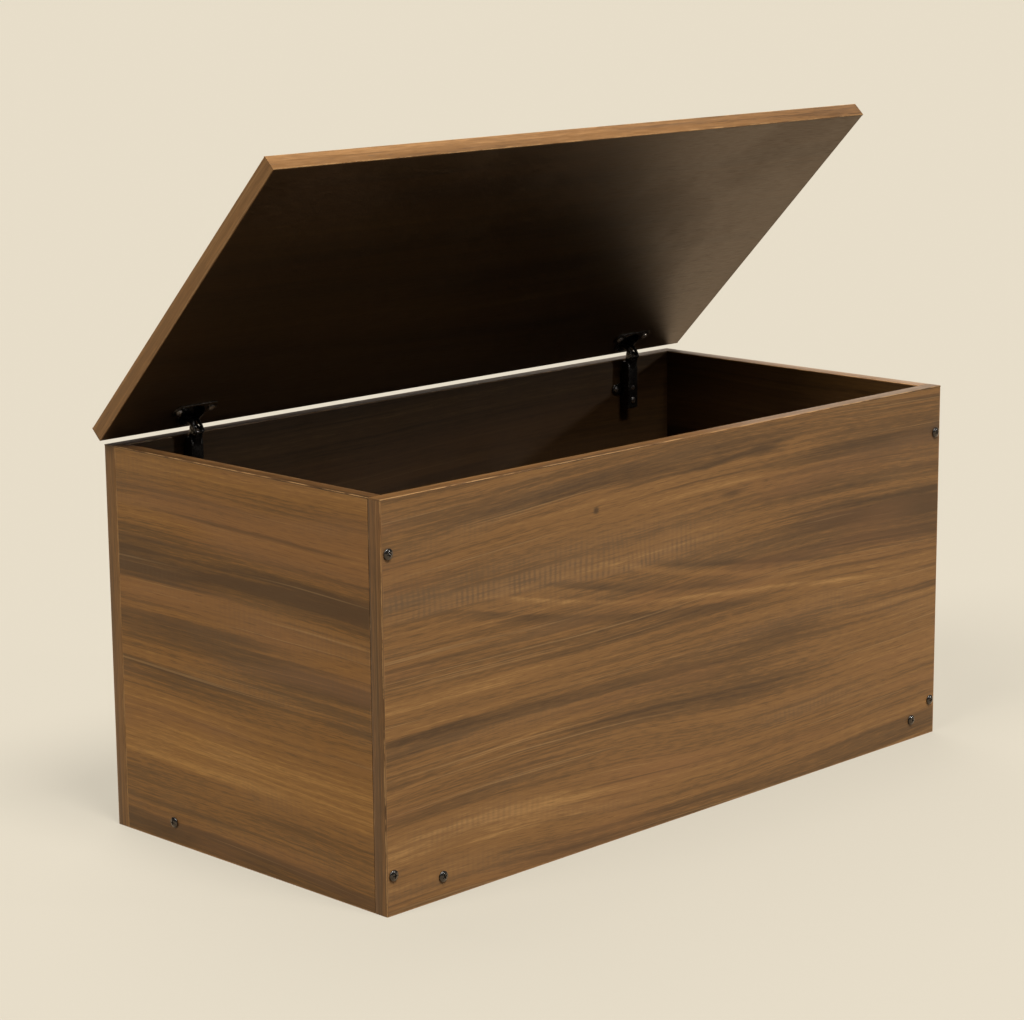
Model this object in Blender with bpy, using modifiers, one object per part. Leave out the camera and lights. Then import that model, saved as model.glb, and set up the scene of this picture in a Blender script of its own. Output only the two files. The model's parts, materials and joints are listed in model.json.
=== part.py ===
"""Storage ottoman: an open chest of faced board whose lid turns on two concealed cup hinges.

X runs along the front, Y from the front to the back and Z up. The origin lies on the floor under the
middle of the box. The lid is drawn open, at REST_OPENING from closed. Every length is in metres.

The front and back panels cover the ends of the two end panels, and pan-head screws go through their
faces. The bottom panel sits inside the four walls, a little above the floor. All edges that show carry
an edging strip. Each hinge has a cup let into the lid, two levers that turn on the arm's nose and in
the cup, and an arm on a cross-shaped plate that is screwed to the back panel.

Hinge sections are drawn in a plane across the hinge line: the first number runs out from the back
panel's inner face towards the front, and the second runs up from the rim.
"""

import math

import bmesh
import bpy
from mathutils import Matrix, Vector

MM = 0.001

# The gap between pieces that touch, and the play between pieces that slide past each other.
FIT = 0.3 * MM
HINGE_PLAY = 0.3 * MM
PIN_PLAY = 0.33 * MM

# Box
BOX_WIDTH = 900 * MM
BOX_DEPTH = 435 * MM
BOX_HEIGHT = 425 * MM
BOARD = 18 * MM
BOTTOM_BOARD = 18 * MM
BOTTOM_RISE = 15 * MM

# Edging strips
EDGING = 1.2 * MM
EDGING_ROUND = 0.9 * MM

# Lid
LID_THICKNESS = 18 * MM
LID_SIDE_OVERHANG = 12 * MM
LID_REAR_SETBACK = 1 * MM
LID_FRONT_SETBACK = 9 * MM
LID_CLOSED_GAP = 1.6 * MM
REST_OPENING = math.radians(46)

# Assembly screws and where they go
SCREW_HEAD_RADIUS = 5.8 * MM
SCREW_HEAD_HEIGHT = 3.0 * MM
SCREW_SHANK_RADIUS = 2.3 * MM
SCREW_LENGTH = 45 * MM
WALL_SCREW_TOP_DROP = 55 * MM
WALL_SCREW_FOOT_RISE = 42 * MM
BOTTOM_SCREW_FROM_LEFT = 77 * MM
BOTTOM_SCREW_FROM_RIGHT = 45 * MM
END_SCREW_FROM_BACK = 99 * MM

# Hinge places
HINGE_FROM_SIDE = 100 * MM
CUP_FROM_LID_REAR = 22.5 * MM

# Hinge pivots: the two on the arm's nose, out from the panel and up from the rim, and the two in the
# cup, in from the lid's rear edge and up from its lower face.
OUTER_PIVOT_OUT = 18.0 * MM
OUTER_PIVOT_UP = 4.3 * MM
INNER_PIVOT_OUT = 11.0 * MM
INNER_PIVOT_UP = 8.5 * MM
OUTER_CUP_PIVOT_IN = 10.6 * MM
OUTER_CUP_PIVOT_DEPTH = 2.5 * MM
INNER_CUP_PIVOT_IN = 10.4 * MM
INNER_CUP_PIVOT_DEPTH = 4.1 * MM
OUTER_LEVER_SHARE = 0.58

# Levers and pins
PIN_RADIUS = 1.0 * MM
INNER_LEVER_WIDTH = 6.0 * MM
INNER_LEVER_THICKNESS = 2.0 * MM
INNER_LEVER_BOW = 4.4 * MM
INNER_EYE_RADIUS = 2.4 * MM
INNER_TIP_PLAY = 0.45 * MM
CHEEK_THICKNESS = 1.6 * MM
CHEEK_DEPTH = 3.8 * MM
OUTER_LEVER_BOW = 6.2 * MM
OUTER_EYE_RADIUS = 2.2 * MM
SHAFT_HEAD = 0.7 * MM

# Cup
CUP_RADIUS = 17.5 * MM
CUP_WALL = 1.0 * MM
CUP_HEIGHT = 12.7 * MM
FLANGE_THICKNESS = 1.0 * MM
FLANGE_WIDTH = 60 * MM
FLANGE_LIP = 1.2 * MM
EAR_REAR = 2.5 * MM
EAR_CORNER = 6.0 * MM
CUP_SCREW_SPACING = 45 * MM
CUP_SCREW_FORWARD = 9.5 * MM
LUG_THICKNESS = 1.5 * MM
LUG_RADIUS = 2.3 * MM

# Arm
ARM_WIDTH = 16 * MM
ARM_WALL = 1.2 * MM
ARM_OUT = 16.0 * MM
ARM_STANDOFF = 3.0 * MM
ARM_TOP_DROP = 2.0 * MM
ARM_LENGTH = 60 * MM
ARM_ROOT_DROP = 12 * MM
ARM_CORNER = 3.0 * MM
NOSE_WALL = 1.5 * MM
NOSE_REAR_OUT = 5.5 * MM
NOSE_RADIUS = 2.4 * MM
NOSE_SLOT_UP = 0.5 * MM

# Mounting plate
PLATE_THICKNESS = 2.0 * MM
PLATE_DROP = 37 * MM
PLATE_SCREW_SPACING = 32 * MM
WING_RADIUS = 6.0 * MM
WING_FLARE = 1.5 * MM
BLOCK_TOP_DROP = 16 * MM
BLOCK_SHORT_OF_FOOT = 4 * MM

# Hinge screws
SMALL_SCREW_HEAD_RADIUS = 3.7 * MM
SMALL_SCREW_HEAD_HEIGHT = 1.7 * MM
SMALL_SCREW_SHANK_RADIUS = 1.7 * MM
CUP_SCREW_LENGTH = 12 * MM
PLATE_SCREW_LENGTH = 16 * MM
SIDE_SCREW_RADIUS = 2.8 * MM
SIDE_SCREW_DROP = 35 * MM
SIDE_SCREW_LENGTH = 8.5 * MM
SIDE_SCREW_PROUD = 0.6 * MM
FIXING_SCREW_FROM_FOOT = 11 * MM
FIXING_SCREW_LENGTH = 9 * MM

# Facets
SCREW_SIDES = 10
SCREW_SPIN = 37
PIN_SIDES = 10
CUP_SIDES = 32
ARC_STEPS = 5

# Places that several pieces share
FRONT_Y = -BOX_DEPTH / 2
BACK_Y = BOX_DEPTH / 2
BACK_INNER_Y = BACK_Y - BOARD
END_INNER_X = BOX_WIDTH / 2 - BOARD
BOTTOM_SCREW_Z = BOTTOM_RISE + BOTTOM_BOARD / 2
LID_BOTTOM_Z = BOX_HEIGHT + LID_CLOSED_GAP
LID_REAR_Y = BACK_Y - LID_REAR_SETBACK
LID_FRONT_Y = FRONT_Y + LID_FRONT_SETBACK
LID_HALF_LENGTH = BOX_WIDTH / 2 + LID_SIDE_OVERHANG
CUP_Y = LID_REAR_Y - CUP_FROM_LID_REAR
CAVITY_RADIUS = CUP_RADIUS - CUP_WALL
CAVITY_DEPTH = CUP_HEIGHT - CUP_WALL
HOLE_RADIUS = PIN_RADIUS + PIN_PLAY
ARM_FOOT_DROP = ARM_TOP_DROP + ARM_LENGTH
BLOCK_FOOT_DROP = ARM_FOOT_DROP - BLOCK_SHORT_OF_FOOT
FIXING_SCREW_DROP = ARM_FOOT_DROP - FIXING_SCREW_FROM_FOOT

# Half widths across a hinge, from the inner lever outwards
INNER_HALF = INNER_LEVER_WIDTH / 2
NOSE_INNER = INNER_HALF + HINGE_PLAY
NOSE_OUTER = NOSE_INNER + NOSE_WALL
CHEEK_INNER = NOSE_OUTER + HINGE_PLAY
CHEEK_OUTER = CHEEK_INNER + CHEEK_THICKNESS
LUG_INNER = CHEEK_OUTER + HINGE_PLAY
LUG_OUTER = LUG_INNER + LUG_THICKNESS
LUG_MIDDLE = (LUG_INNER + LUG_OUTER) / 2
ARM_HALF = ARM_WIDTH / 2

# Turns a drawing in the hinge plane (out, up) to stand across the hinge line.
HINGE_PLANE = Matrix(((0, 0, -1, 0), (-1, 0, 0, 0), (0, 1, 0, 0), (0, 0, 0, 1)))
# Turns a drawing of (along, up) to stand parallel to the front.
WALL_PLANE = Matrix(((1, 0, 0, 0), (0, 0, -1, 0), (0, 1, 0, 0), (0, 0, 0, 1)))


def clear_scene():
    """Remove the objects that the scene holds."""
    for item in list(bpy.data.objects):
        bpy.data.objects.remove(item, do_unlink=True)


def new_collection(name):
    """Make a collection under the scene."""
    group = bpy.data.collections.new(name)
    bpy.context.scene.collection.children.link(group)
    return group


def new_material(name, colour, roughness, metallic):
    """Make a plain Principled material."""
    material = bpy.data.materials.new(name)
    material.use_nodes = True
    shader = material.node_tree.nodes["Principled BSDF"]
    shader.inputs["Base Color"].default_value = (*colour, 1.0)
    shader.inputs["Roughness"].default_value = roughness
    shader.inputs["Metallic"].default_value = metallic
    material.diffuse_color = (*colour, 1.0)
    return material


def place(name, mesh, group, material=None, matrix=None):
    """Put a mesh in the scene as an object, as a piece or, without a material, as a hidden guide."""
    item = bpy.data.objects.new(name, mesh)
    group.objects.link(item)
    if matrix is not None:
        item.matrix_world = matrix
    if material is None:
        item.hide_render = True
        item.display_type = "WIRE"
    else:
        mesh.materials.clear()
        mesh.materials.append(material)
    return item


def finished_mesh(item):
    """Return the mesh that an object's modifiers or curve settings give, and remove the object."""
    bpy.context.view_layer.update()
    graph = bpy.context.evaluated_depsgraph_get()
    mesh = bpy.data.meshes.new_from_object(item.evaluated_get(graph))
    data = item.data
    bpy.data.objects.remove(item, do_unlink=True)
    if isinstance(data, bpy.types.Curve):
        bpy.data.curves.remove(data)
    return mesh


def mesh_from(name, build):
    """Run build on an empty bmesh and return what it makes as a mesh."""
    form = bmesh.new()
    build(form)
    mesh = bpy.data.meshes.new(name)
    form.to_mesh(mesh)
    form.free()
    return mesh


def smooth(mesh, degrees=35):
    """Shade a round piece smooth between its sharp edges."""
    mesh.shade_smooth()
    mesh.set_sharp_from_angle(angle=math.radians(degrees))


def box_mesh(name, low, high):
    """Return a box between two corners, drawn about its own middle, and that middle."""
    low, high = Vector(low), Vector(high)
    size = high - low

    def build(form):
        bmesh.ops.create_cube(form, size=1.0, matrix=Matrix.Diagonal((*size, 1.0)))

    return mesh_from(name, build), (low + high) / 2


def make_box(name, low, high, group, material=None):
    """Make a box between two corners, with its origin in its middle."""
    mesh, middle = box_mesh(name, low, high)
    return place(name, mesh, group, material, Matrix.Translation(middle))


def rods_mesh(name, ends, radius, sides):
    """Return a mesh of straight round rods, one for each pair of end points."""

    def build(form):
        for start, end in ends:
            start, end = Vector(start), Vector(end)
            run = end - start
            turn = run.to_track_quat("Z", "Y").to_matrix().to_4x4()
            matrix = Matrix.Translation((start + end) / 2) @ turn
            bmesh.ops.create_cone(form, cap_ends=True, segments=sides, radius1=radius, radius2=radius,
                                  depth=run.length, matrix=matrix)

    return mesh_from(name, build)


def make_rods(name, ends, radius, sides, group, material=None):
    """Make round rods, one separate body for each pair of end points."""
    mesh = rods_mesh(name, ends, radius, sides)
    smooth(mesh)
    return place(name, mesh, group, material)


def make_plate(name, loops, thickness, matrix, group, material=None):
    """Make a flat plate from outlines in a plane; a loop inside another is a hole."""
    curve = bpy.data.curves.new(name, "CURVE")
    curve.dimensions = "2D"
    curve.fill_mode = "BOTH"
    curve.extrude = thickness / 2
    for loop in loops:
        spline = curve.splines.new("POLY")
        spline.points.add(len(loop) - 1)
        for point, (across, up) in zip(spline.points, loop):
            point.co = (across, up, 0, 1)
        spline.use_cyclic_u = True
    outline = bpy.data.objects.new(name, curve)
    group.objects.link(outline)
    mesh = finished_mesh(outline)
    form = bmesh.new()
    form.from_mesh(mesh)
    bmesh.ops.remove_doubles(form, verts=form.verts, dist=0.001 * MM)
    form.to_mesh(mesh)
    form.free()
    mesh.name = name
    return place(name, mesh, group, material, matrix)


def turned_mesh(name, profile, sides):
    """Return the round form of a profile of (radius, height) that runs down its outer side."""
    line = bpy.data.meshes.new(name)
    points = [(radius, 0, height) for radius, height in profile]
    line.from_pydata(points, [(i, i + 1) for i in range(len(points) - 1)], [])
    item = bpy.data.objects.new(name, line)
    bpy.context.scene.collection.objects.link(item)
    screw = item.modifiers.new("turn", "SCREW")
    screw.steps = sides
    screw.render_steps = sides
    screw.use_merge_vertices = True
    screw.merge_threshold = 0.001 * MM
    return finished_mesh(item)


def arc(centre, radius, start, end, steps=ARC_STEPS):
    """Return points on an arc between two angles in degrees."""
    points = []
    for step in range(steps + 1):
        angle = math.radians(start + (end - start) * step / steps)
        points.append((centre[0] + radius * math.cos(angle), centre[1] + radius * math.sin(angle)))
    return points


def circle(centre, radius, sides=PIN_SIDES):
    """Return the corners of a round hole."""
    return arc(centre, radius, 0, 360, sides)[:-1]


def cut(item, cutter):
    """Take a guide's form out of a piece."""
    change = item.modifiers.new(cutter.name, "BOOLEAN")
    change.operation = "DIFFERENCE"
    change.solver = "EXACT"
    change.object = cutter


def fuse(item, addition):
    """Join a guide's form to a piece."""
    change = item.modifiers.new(addition.name, "BOOLEAN")
    change.operation = "UNION"
    change.solver = "EXACT"
    change.object = addition


def hang(items, pivot):
    """Parent pieces to an empty without moving them."""
    for item in items:
        item.parent = pivot
        item.matrix_parent_inverse = Matrix.Translation(-Vector(pivot.location))


def new_pivot(name, location, group):
    """Make an empty on a joint's axis."""
    pivot = bpy.data.objects.new(name, None)
    pivot.location = location
    pivot.empty_display_size = 20 * MM
    group.objects.link(pivot)
    return pivot


# Edging

def make_edging(name, low, high, outward, along, group, material):
    """Make an edging strip whose two long outer edges are rounded.

    outward is the axis number and sign of the strip's face, and along is the axis number of its length.
    """
    mesh, middle = box_mesh(name, low, high)
    axis, sign = outward
    form = bmesh.new()
    form.from_mesh(mesh)
    weights = form.edges.layers.float.new("bevel_weight_edge")
    for edge in form.edges:
        first, second = (vertex.co for vertex in edge.verts)
        on_face = first[axis] * sign > 0 and second[axis] * sign > 0
        runs_along = abs(first[along] - second[along]) > EDGING
        if on_face and runs_along:
            edge[weights] = 1.0
    form.to_mesh(mesh)
    form.free()
    strip = place(name, mesh, group, material, Matrix.Translation(middle))
    bevel = strip.modifiers.new("rounding", "BEVEL")
    bevel.limit_method = "WEIGHT"
    bevel.width = min(EDGING_ROUND, EDGING * 0.9)
    bevel.segments = 2
    return strip


# Screws

def screw_mesh(name, head_radius, head_height, shank_radius, length):
    """Return a pan-head screw, head up, with its bearing face at height 0 and a cross recess."""
    crown = head_height * 0.55
    profile = [(0.0, head_height)]
    for step in range(1, 3):
        angle = math.radians(90 - 38 * step)
        profile.append((head_radius * math.cos(angle), crown + (head_height - crown) * math.sin(angle)))
    profile += [(head_radius, crown * 0.6), (head_radius * 0.96, 0.0), (shank_radius, 0.0),
                (shank_radius, -length + 2 * shank_radius), (0.0, -length)]
    body = bpy.data.objects.new(name, turned_mesh(name, profile, SCREW_SIDES))
    bpy.context.scene.collection.objects.link(body)
    reach = head_radius * 0.56
    arm = head_radius * 0.11
    floor = head_height * 0.45
    cutters = []
    for across, deep in ((reach, arm), (arm, reach)):
        mesh, middle = box_mesh(name, (-across, -deep, floor), (across, deep, head_height * 1.2))
        cutter = bpy.data.objects.new(name, mesh)
        cutter.location = middle
        bpy.context.scene.collection.objects.link(cutter)
        cutters.append(cutter)
        cut(body, cutter)
    mesh = finished_mesh(body)
    for cutter in cutters:
        bpy.data.objects.remove(cutter, do_unlink=True)
    smooth(mesh)
    return mesh


def make_screws(name, mesh, seats, group, material):
    """Make a set of like screws that share a mesh, and return them.

    Each seat is a point on the face that carries the head and that face's outward direction.
    """
    screws = []
    for number, (point, outward) in enumerate(seats, start=1):
        outward = Vector(outward)
        turn = outward.to_track_quat("Z", "Y").to_matrix().to_4x4()
        spin = Matrix.Rotation(math.radians(SCREW_SPIN * number), 4, "Z")
        label = name if len(seats) == 1 else f"{name}_{number}"
        spot = Matrix.Translation(Vector(point) + outward * FIT) @ turn @ spin
        screws.append(place(label, mesh, group, material, spot))
    return screws


def screw_holes(name, seats, length, radius, group):
    """Make the cutter for the holes of a set of screws."""
    ends = []
    for point, outward in seats:
        point, outward = Vector(point), Vector(outward)
        ends.append((point + outward * 2 * MM, point - outward * length))
    return make_rods(name, ends, radius + FIT, SCREW_SIDES, group)


# Box

def wall_screw_seats():
    """Return the seats of the screws in the front, back, left end and right end faces."""
    left_x = -BOX_WIDTH / 2 + BOTTOM_SCREW_FROM_LEFT
    right_x = BOX_WIDTH / 2 - BOTTOM_SCREW_FROM_RIGHT
    end_x = BOX_WIDTH / 2 - BOARD / 2
    high_z = BOX_HEIGHT - WALL_SCREW_TOP_DROP
    seats = {}
    for name, y, outward in (("front", FRONT_Y, -1), ("back", BACK_Y, 1)):
        points = [(side * end_x, y, z) for side in (-1, 1) for z in (high_z, WALL_SCREW_FOOT_RISE)]
        points += [(x, y, BOTTOM_SCREW_Z) for x in (left_x, right_x)]
        seats[name] = [(point, (0, outward, 0)) for point in points]
    end_y = BACK_Y - END_SCREW_FROM_BACK
    for name, side in (("left", -1), ("right", 1)):
        seats[name] = [((side * BOX_WIDTH / 2, end_y, BOTTOM_SCREW_Z), (side, 0, 0))]
    return seats


def make_box_walls(parts, cutters, boards, edging, steel):
    """Make the four walls, the bottom, their edging and their screws."""
    seats = wall_screw_seats()
    screw = screw_mesh("assembly_screw", SCREW_HEAD_RADIUS, SCREW_HEAD_HEIGHT, SCREW_SHANK_RADIUS,
                       SCREW_LENGTH)
    holes = {}
    for side in seats:
        holes[side] = screw_holes(side + "_screw_holes", seats[side], SCREW_LENGTH + FIT,
                                  SCREW_SHANK_RADIUS, cutters)
    step = EDGING + FIT
    half = BOX_WIDTH / 2
    walls = {}
    for name, y in (("front", FRONT_Y), ("back", BACK_INNER_Y)):
        wall = make_box(name + "_panel", (-half + step, y, 0), (half - step, y + BOARD, BOX_HEIGHT - step),
                        parts, boards)
        make_edging(name + "_edging_top", (-half, y, BOX_HEIGHT - EDGING), (half, y + BOARD, BOX_HEIGHT),
                    (2, 1), 0, parts, edging)
        for side, sign in (("left", -1), ("right", 1)):
            edges = sorted((sign * half, sign * (half - EDGING)))
            make_edging(name + "_edging_" + side, (edges[0], y, 0),
                        (edges[1], y + BOARD, BOX_HEIGHT - step), (0, sign), 2, parts, edging)
        cut(wall, holes[name])
        walls[name] = wall
    low_y, high_y = FRONT_Y + BOARD + FIT, BACK_INNER_Y - FIT
    for name, sign in (("left", -1), ("right", 1)):
        edges = sorted((sign * half, sign * END_INNER_X))
        wall = make_box(name + "_end_panel", (edges[0], low_y, 0), (edges[1], high_y, BOX_HEIGHT - step),
                        parts, boards)
        make_edging(name + "_end_edging_top", (edges[0], low_y, BOX_HEIGHT - EDGING),
                    (edges[1], high_y, BOX_HEIGHT), (2, 1), 1, parts, edging)
        for side in ("front", "back", name):
            cut(wall, holes[side])
        walls[name] = wall
    bottom = make_box("bottom_panel", (-END_INNER_X + FIT, low_y, BOTTOM_RISE),
                      (END_INNER_X - FIT, high_y, BOTTOM_RISE + BOTTOM_BOARD), parts, boards)
    for side in seats:
        cut(bottom, holes[side])
        label = side + "_panel_screw" if side in ("front", "back") else side + "_end_screw"
        make_screws(label, screw, seats[side], parts, steel)
    return walls


# Lid

def make_lid(parts, cutters, boards, edging):
    """Make the lid and its edging in the closed position, and return the pieces."""
    step = EDGING + FIT
    half = LID_HALF_LENGTH
    top = LID_BOTTOM_Z + LID_THICKNESS
    panel = make_box("lid_panel", (-half + step, LID_FRONT_Y + step, LID_BOTTOM_Z),
                     (half - step, LID_REAR_Y - step, top), parts, boards)
    pieces = [panel]
    for name, sign, y in (("front", -1, LID_FRONT_Y), ("rear", 1, LID_REAR_Y)):
        edges = sorted((y, y - sign * EDGING))
        pieces.append(make_edging("lid_edging_" + name, (-half, edges[0], LID_BOTTOM_Z),
                                  (half, edges[1], top), (1, sign), 0, parts, edging))
    for name, sign in (("left", -1), ("right", 1)):
        edges = sorted((sign * half, sign * (half - EDGING)))
        pieces.append(make_edging("lid_edging_" + name, (edges[0], LID_FRONT_Y + step, LID_BOTTOM_Z),
                                  (edges[1], LID_REAR_Y - step, top), (0, sign), 1, parts, edging))
    ends = []
    for x in hinge_places().values():
        ends.append(((x, CUP_Y, LID_BOTTOM_Z - FIT), (x, CUP_Y, LID_BOTTOM_Z + CUP_HEIGHT + FIT)))
    bores = make_rods("cup_bores", ends, CUP_RADIUS + FIT, CUP_SIDES, cutters)
    cut(panel, bores)
    pieces.append(bores)
    return pieces


# Hinges

def hinge_places():
    """Return where the two hinges sit along the lid."""
    x = BOX_WIDTH / 2 - HINGE_FROM_SIDE
    return {"left": -x, "right": x}


def turned(point, angle):
    """Turn a hinge-plane point of (back, up) about the origin by an angle about X."""
    back, up = point
    return Vector((back * math.cos(angle) - up * math.sin(angle), back * math.sin(angle) + up * math.cos(angle)))


def closed_cup_pivots():
    """Return the cup's outer and inner pivots as (Y, Z) with the lid closed."""
    outer = Vector((LID_REAR_Y - OUTER_CUP_PIVOT_IN, LID_BOTTOM_Z + OUTER_CUP_PIVOT_DEPTH))
    inner = Vector((LID_REAR_Y - INNER_CUP_PIVOT_IN, LID_BOTTOM_Z + INNER_CUP_PIVOT_DEPTH))
    return outer, inner


def nose_pivots():
    """Return the nose's outer and inner pivots as (Y, Z)."""
    outer = Vector((BACK_INNER_Y - OUTER_PIVOT_OUT, BOX_HEIGHT + OUTER_PIVOT_UP))
    inner = Vector((BACK_INNER_Y - INNER_PIVOT_OUT, BOX_HEIGHT + INNER_PIVOT_UP))
    return outer, inner


def open_cup_pivots():
    """Return the cup's outer and inner pivots as (Y, Z) with the lid open as drawn."""
    nose, _ = nose_pivots()
    outer, inner = closed_cup_pivots()
    open_outer = nose + turned(outer - nose, OUTER_LEVER_SHARE * REST_OPENING)
    open_inner = open_outer + turned(inner - outer, -REST_OPENING)
    return open_outer, open_inner


def lever_outline(length, bow, thickness, eye_radius):
    """Return the outline of an arched strip with a round eye at each end.

    The first eye is at the origin and the second at (-length, 0), with the arch above them.
    """
    radius = (length ** 2 / 4 + bow ** 2) / (2 * bow)
    half_angle = math.asin(length / 2 / radius)
    run = 2 * half_angle * radius
    half = thickness / 2
    join = math.sqrt(eye_radius ** 2 - half ** 2)
    near = [-eye_radius, -0.85 * eye_radius, -0.5 * eye_radius, 0.0, 0.5 * join, join]
    middle = [join + (run - 2 * join) * step / 8 for step in range(1, 8)]
    far = [run - distance for distance in reversed(near)]
    upper, lower = [], []
    for distance in near + middle + far:
        inside = min(max(distance, 0.0), run)
        beyond = distance - inside
        angle = half_angle - inside / radius
        along = radius * math.sin(half_angle) - radius * math.sin(angle) + beyond * math.cos(angle)
        height = radius * math.cos(angle) - radius * math.cos(half_angle) + beyond * math.sin(angle)
        past = min(abs(distance), abs(run - distance))
        width = math.sqrt(max(eye_radius ** 2 - past ** 2, 0.0))
        if beyond == 0.0:
            width = max(width, half)
        upper.append((-(along - width * math.sin(angle)), height + width * math.cos(angle)))
        lower.append((-(along + width * math.sin(angle)), height - width * math.cos(angle)))
    return upper + lower[-2:0:-1]


def make_levers(side, x, parts, cutters, steel):
    """Make a hinge's two levers, each hung from an empty on its axis at the nose."""
    outer_nose, inner_nose = nose_pivots()
    outer_cup, inner_cup = open_cup_pivots()
    pieces = {}
    for name, nose, cup in (("outer", outer_nose, outer_cup), ("inner", inner_nose, inner_cup)):
        reach = cup - nose
        pivot = new_pivot(side + "_" + name + "_lever_axis", (x, nose.x, nose.y), cutters)
        pivot.rotation_euler = (math.atan2(reach.y, reach.x), 0, 0)
        pieces[name] = (pivot, reach.length)
    pivot, length = pieces["inner"]
    outline = lever_outline(length, INNER_LEVER_BOW, INNER_LEVER_THICKNESS, INNER_EYE_RADIUS)
    holes = [circle((0, 0), HOLE_RADIUS), circle((-length, 0), PIN_RADIUS + INNER_TIP_PLAY)]
    inner = make_plate(side + "_inner_lever", [outline] + holes, INNER_LEVER_WIDTH, HINGE_PLANE, parts,
                       steel)
    inner.parent = pivot
    pivot, length = pieces["outer"]
    outline = lever_outline(length, OUTER_LEVER_BOW, CHEEK_DEPTH, OUTER_EYE_RADIUS)
    loops = [outline, circle((-length, 0), HOLE_RADIUS)]
    middle = (CHEEK_INNER + CHEEK_OUTER) / 2
    shifts = [Matrix.Translation((sign * middle, 0, 0)) @ HINGE_PLANE for sign in (1, -1)]
    outer = make_plate(side + "_outer_lever", loops, CHEEK_THICKNESS, shifts[0], parts, steel)
    twin = make_plate(side + "_outer_lever_twin", loops, CHEEK_THICKNESS, shifts[1], cutters)
    end = CHEEK_OUTER + SHAFT_HEAD
    shaft = make_rods(side + "_outer_lever_shaft", [((-end, 0, 0), (end, 0, 0))], PIN_RADIUS, PIN_SIDES,
                      cutters)
    for item in (outer, twin, shaft):
        item.parent = pivot
    fuse(outer, twin)
    fuse(outer, shaft)


def flange_outline():
    """Return the cup flange's outline as (along, forward) about the cup's middle."""
    lip = CUP_RADIUS + FLANGE_LIP
    half = FLANGE_WIDTH / 2
    corner = EAR_CORNER
    meet = math.degrees(math.asin(EAR_REAR / lip))
    right = [(half - corner, lip - corner), (half - corner, EAR_REAR + corner)]
    loop = arc(right[0], corner, 90, 0) + arc(right[1], corner, 0, -90)
    loop += arc((0, 0), lip, meet, -180 - meet, CUP_SIDES // 2)
    left = [(-along, forward) for along, forward in right]
    loop += arc(left[1], corner, -90, -180) + arc(left[0], corner, 180, 90)
    return loop


def cup_screw_seats(x):
    """Return the seats of a cup's two screws with the lid closed."""
    z = LID_BOTTOM_Z - FIT - FLANGE_THICKNESS
    y = CUP_Y - CUP_SCREW_FORWARD
    return [((x + side * CUP_SCREW_SPACING / 2, y, z), (0, 0, -1)) for side in (-1, 1)]


def make_cup(side, x, panel, screw, parts, cutters, steel):
    """Make a hinge cup, its pins and its screws in the closed position, and return the pieces."""
    lip_z = LID_BOTTOM_Z - FIT - FLANGE_THICKNESS
    profile = [(0, CUP_HEIGHT), (CUP_RADIUS - CUP_WALL / 2, CUP_HEIGHT), (CUP_RADIUS, CUP_HEIGHT - CUP_WALL / 2),
               (CUP_RADIUS, lip_z - LID_BOTTOM_Z), (CAVITY_RADIUS, lip_z - LID_BOTTOM_Z),
               (CAVITY_RADIUS, CAVITY_DEPTH), (0, CAVITY_DEPTH)]
    mesh = turned_mesh(side + "_hinge_cup", profile, CUP_SIDES)
    cup = place(side + "_hinge_cup", mesh, parts, steel, Matrix.Translation((x, CUP_Y, LID_BOTTOM_Z)))
    smooth(mesh)
    half = CUP_SCREW_SPACING / 2
    hole = SMALL_SCREW_SHANK_RADIUS + FIT
    loops = [flange_outline(), circle((0, 0), CUP_RADIUS - CUP_WALL / 2, CUP_SIDES)]
    loops += [circle((sign * half, CUP_SCREW_FORWARD), hole) for sign in (-1, 1)]
    facing = Matrix.Translation((x, CUP_Y, lip_z + FLANGE_THICKNESS / 2)) @ Matrix.Rotation(math.pi, 4, "X")
    flange = make_plate(side + "_cup_flange", loops, FLANGE_THICKNESS, facing, cutters)
    fuse(cup, flange)
    guides = [flange]
    outer, inner = closed_cup_pivots()
    lanes = (("outer", outer, LUG_INNER, LUG_OUTER, []),
             ("inner", inner, NOSE_INNER, NOSE_OUTER, [circle((0, 0), HOLE_RADIUS)]))
    for name, pivot, near, far, holes in lanes:
        wall_reach = math.sqrt((CUP_RADIUS - CUP_WALL / 2) ** 2 - ((near + far) / 2) ** 2)
        back = CUP_Y + wall_reach - pivot.x
        outline = arc((0, 0), LUG_RADIUS, 90, -90) + [(-back, -LUG_RADIUS), (-back, LUG_RADIUS)]
        for sign in (-1, 1):
            spot = Matrix.Translation((x + sign * (near + far) / 2, pivot.x, pivot.y)) @ HINGE_PLANE
            label = side + "_" + name + ("_lug_left" if sign < 0 else "_lug_right")
            lug = make_plate(label, [outline] + holes, far - near, spot, cutters)
            fuse(cup, lug)
            guides.append(lug)
    for sign, label in ((-1, "left"), (1, "right")):
        ends = [((x + sign * CHEEK_INNER, outer.x, outer.y), (x + sign * LUG_MIDDLE, outer.x, outer.y))]
        stub = make_rods(side + "_cup_stub_" + label, ends, PIN_RADIUS, PIN_SIDES, cutters)
        fuse(cup, stub)
        guides.append(stub)
    ends = [((x - NOSE_OUTER, inner.x, inner.y), (x + NOSE_OUTER, inner.x, inner.y))]
    pin = make_rods(side + "_cup_pin", ends, PIN_RADIUS, PIN_SIDES, parts, steel)
    seats = cup_screw_seats(x)
    screws = make_screws(side + "_cup_screw", screw, seats, parts, steel)
    holes = screw_holes(side + "_cup_screw_holes", seats, CUP_SCREW_LENGTH + FIT,
                        SMALL_SCREW_SHANK_RADIUS, cutters)
    cut(panel, holes)
    return [cup, pin, holes] + screws + guides


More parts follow.
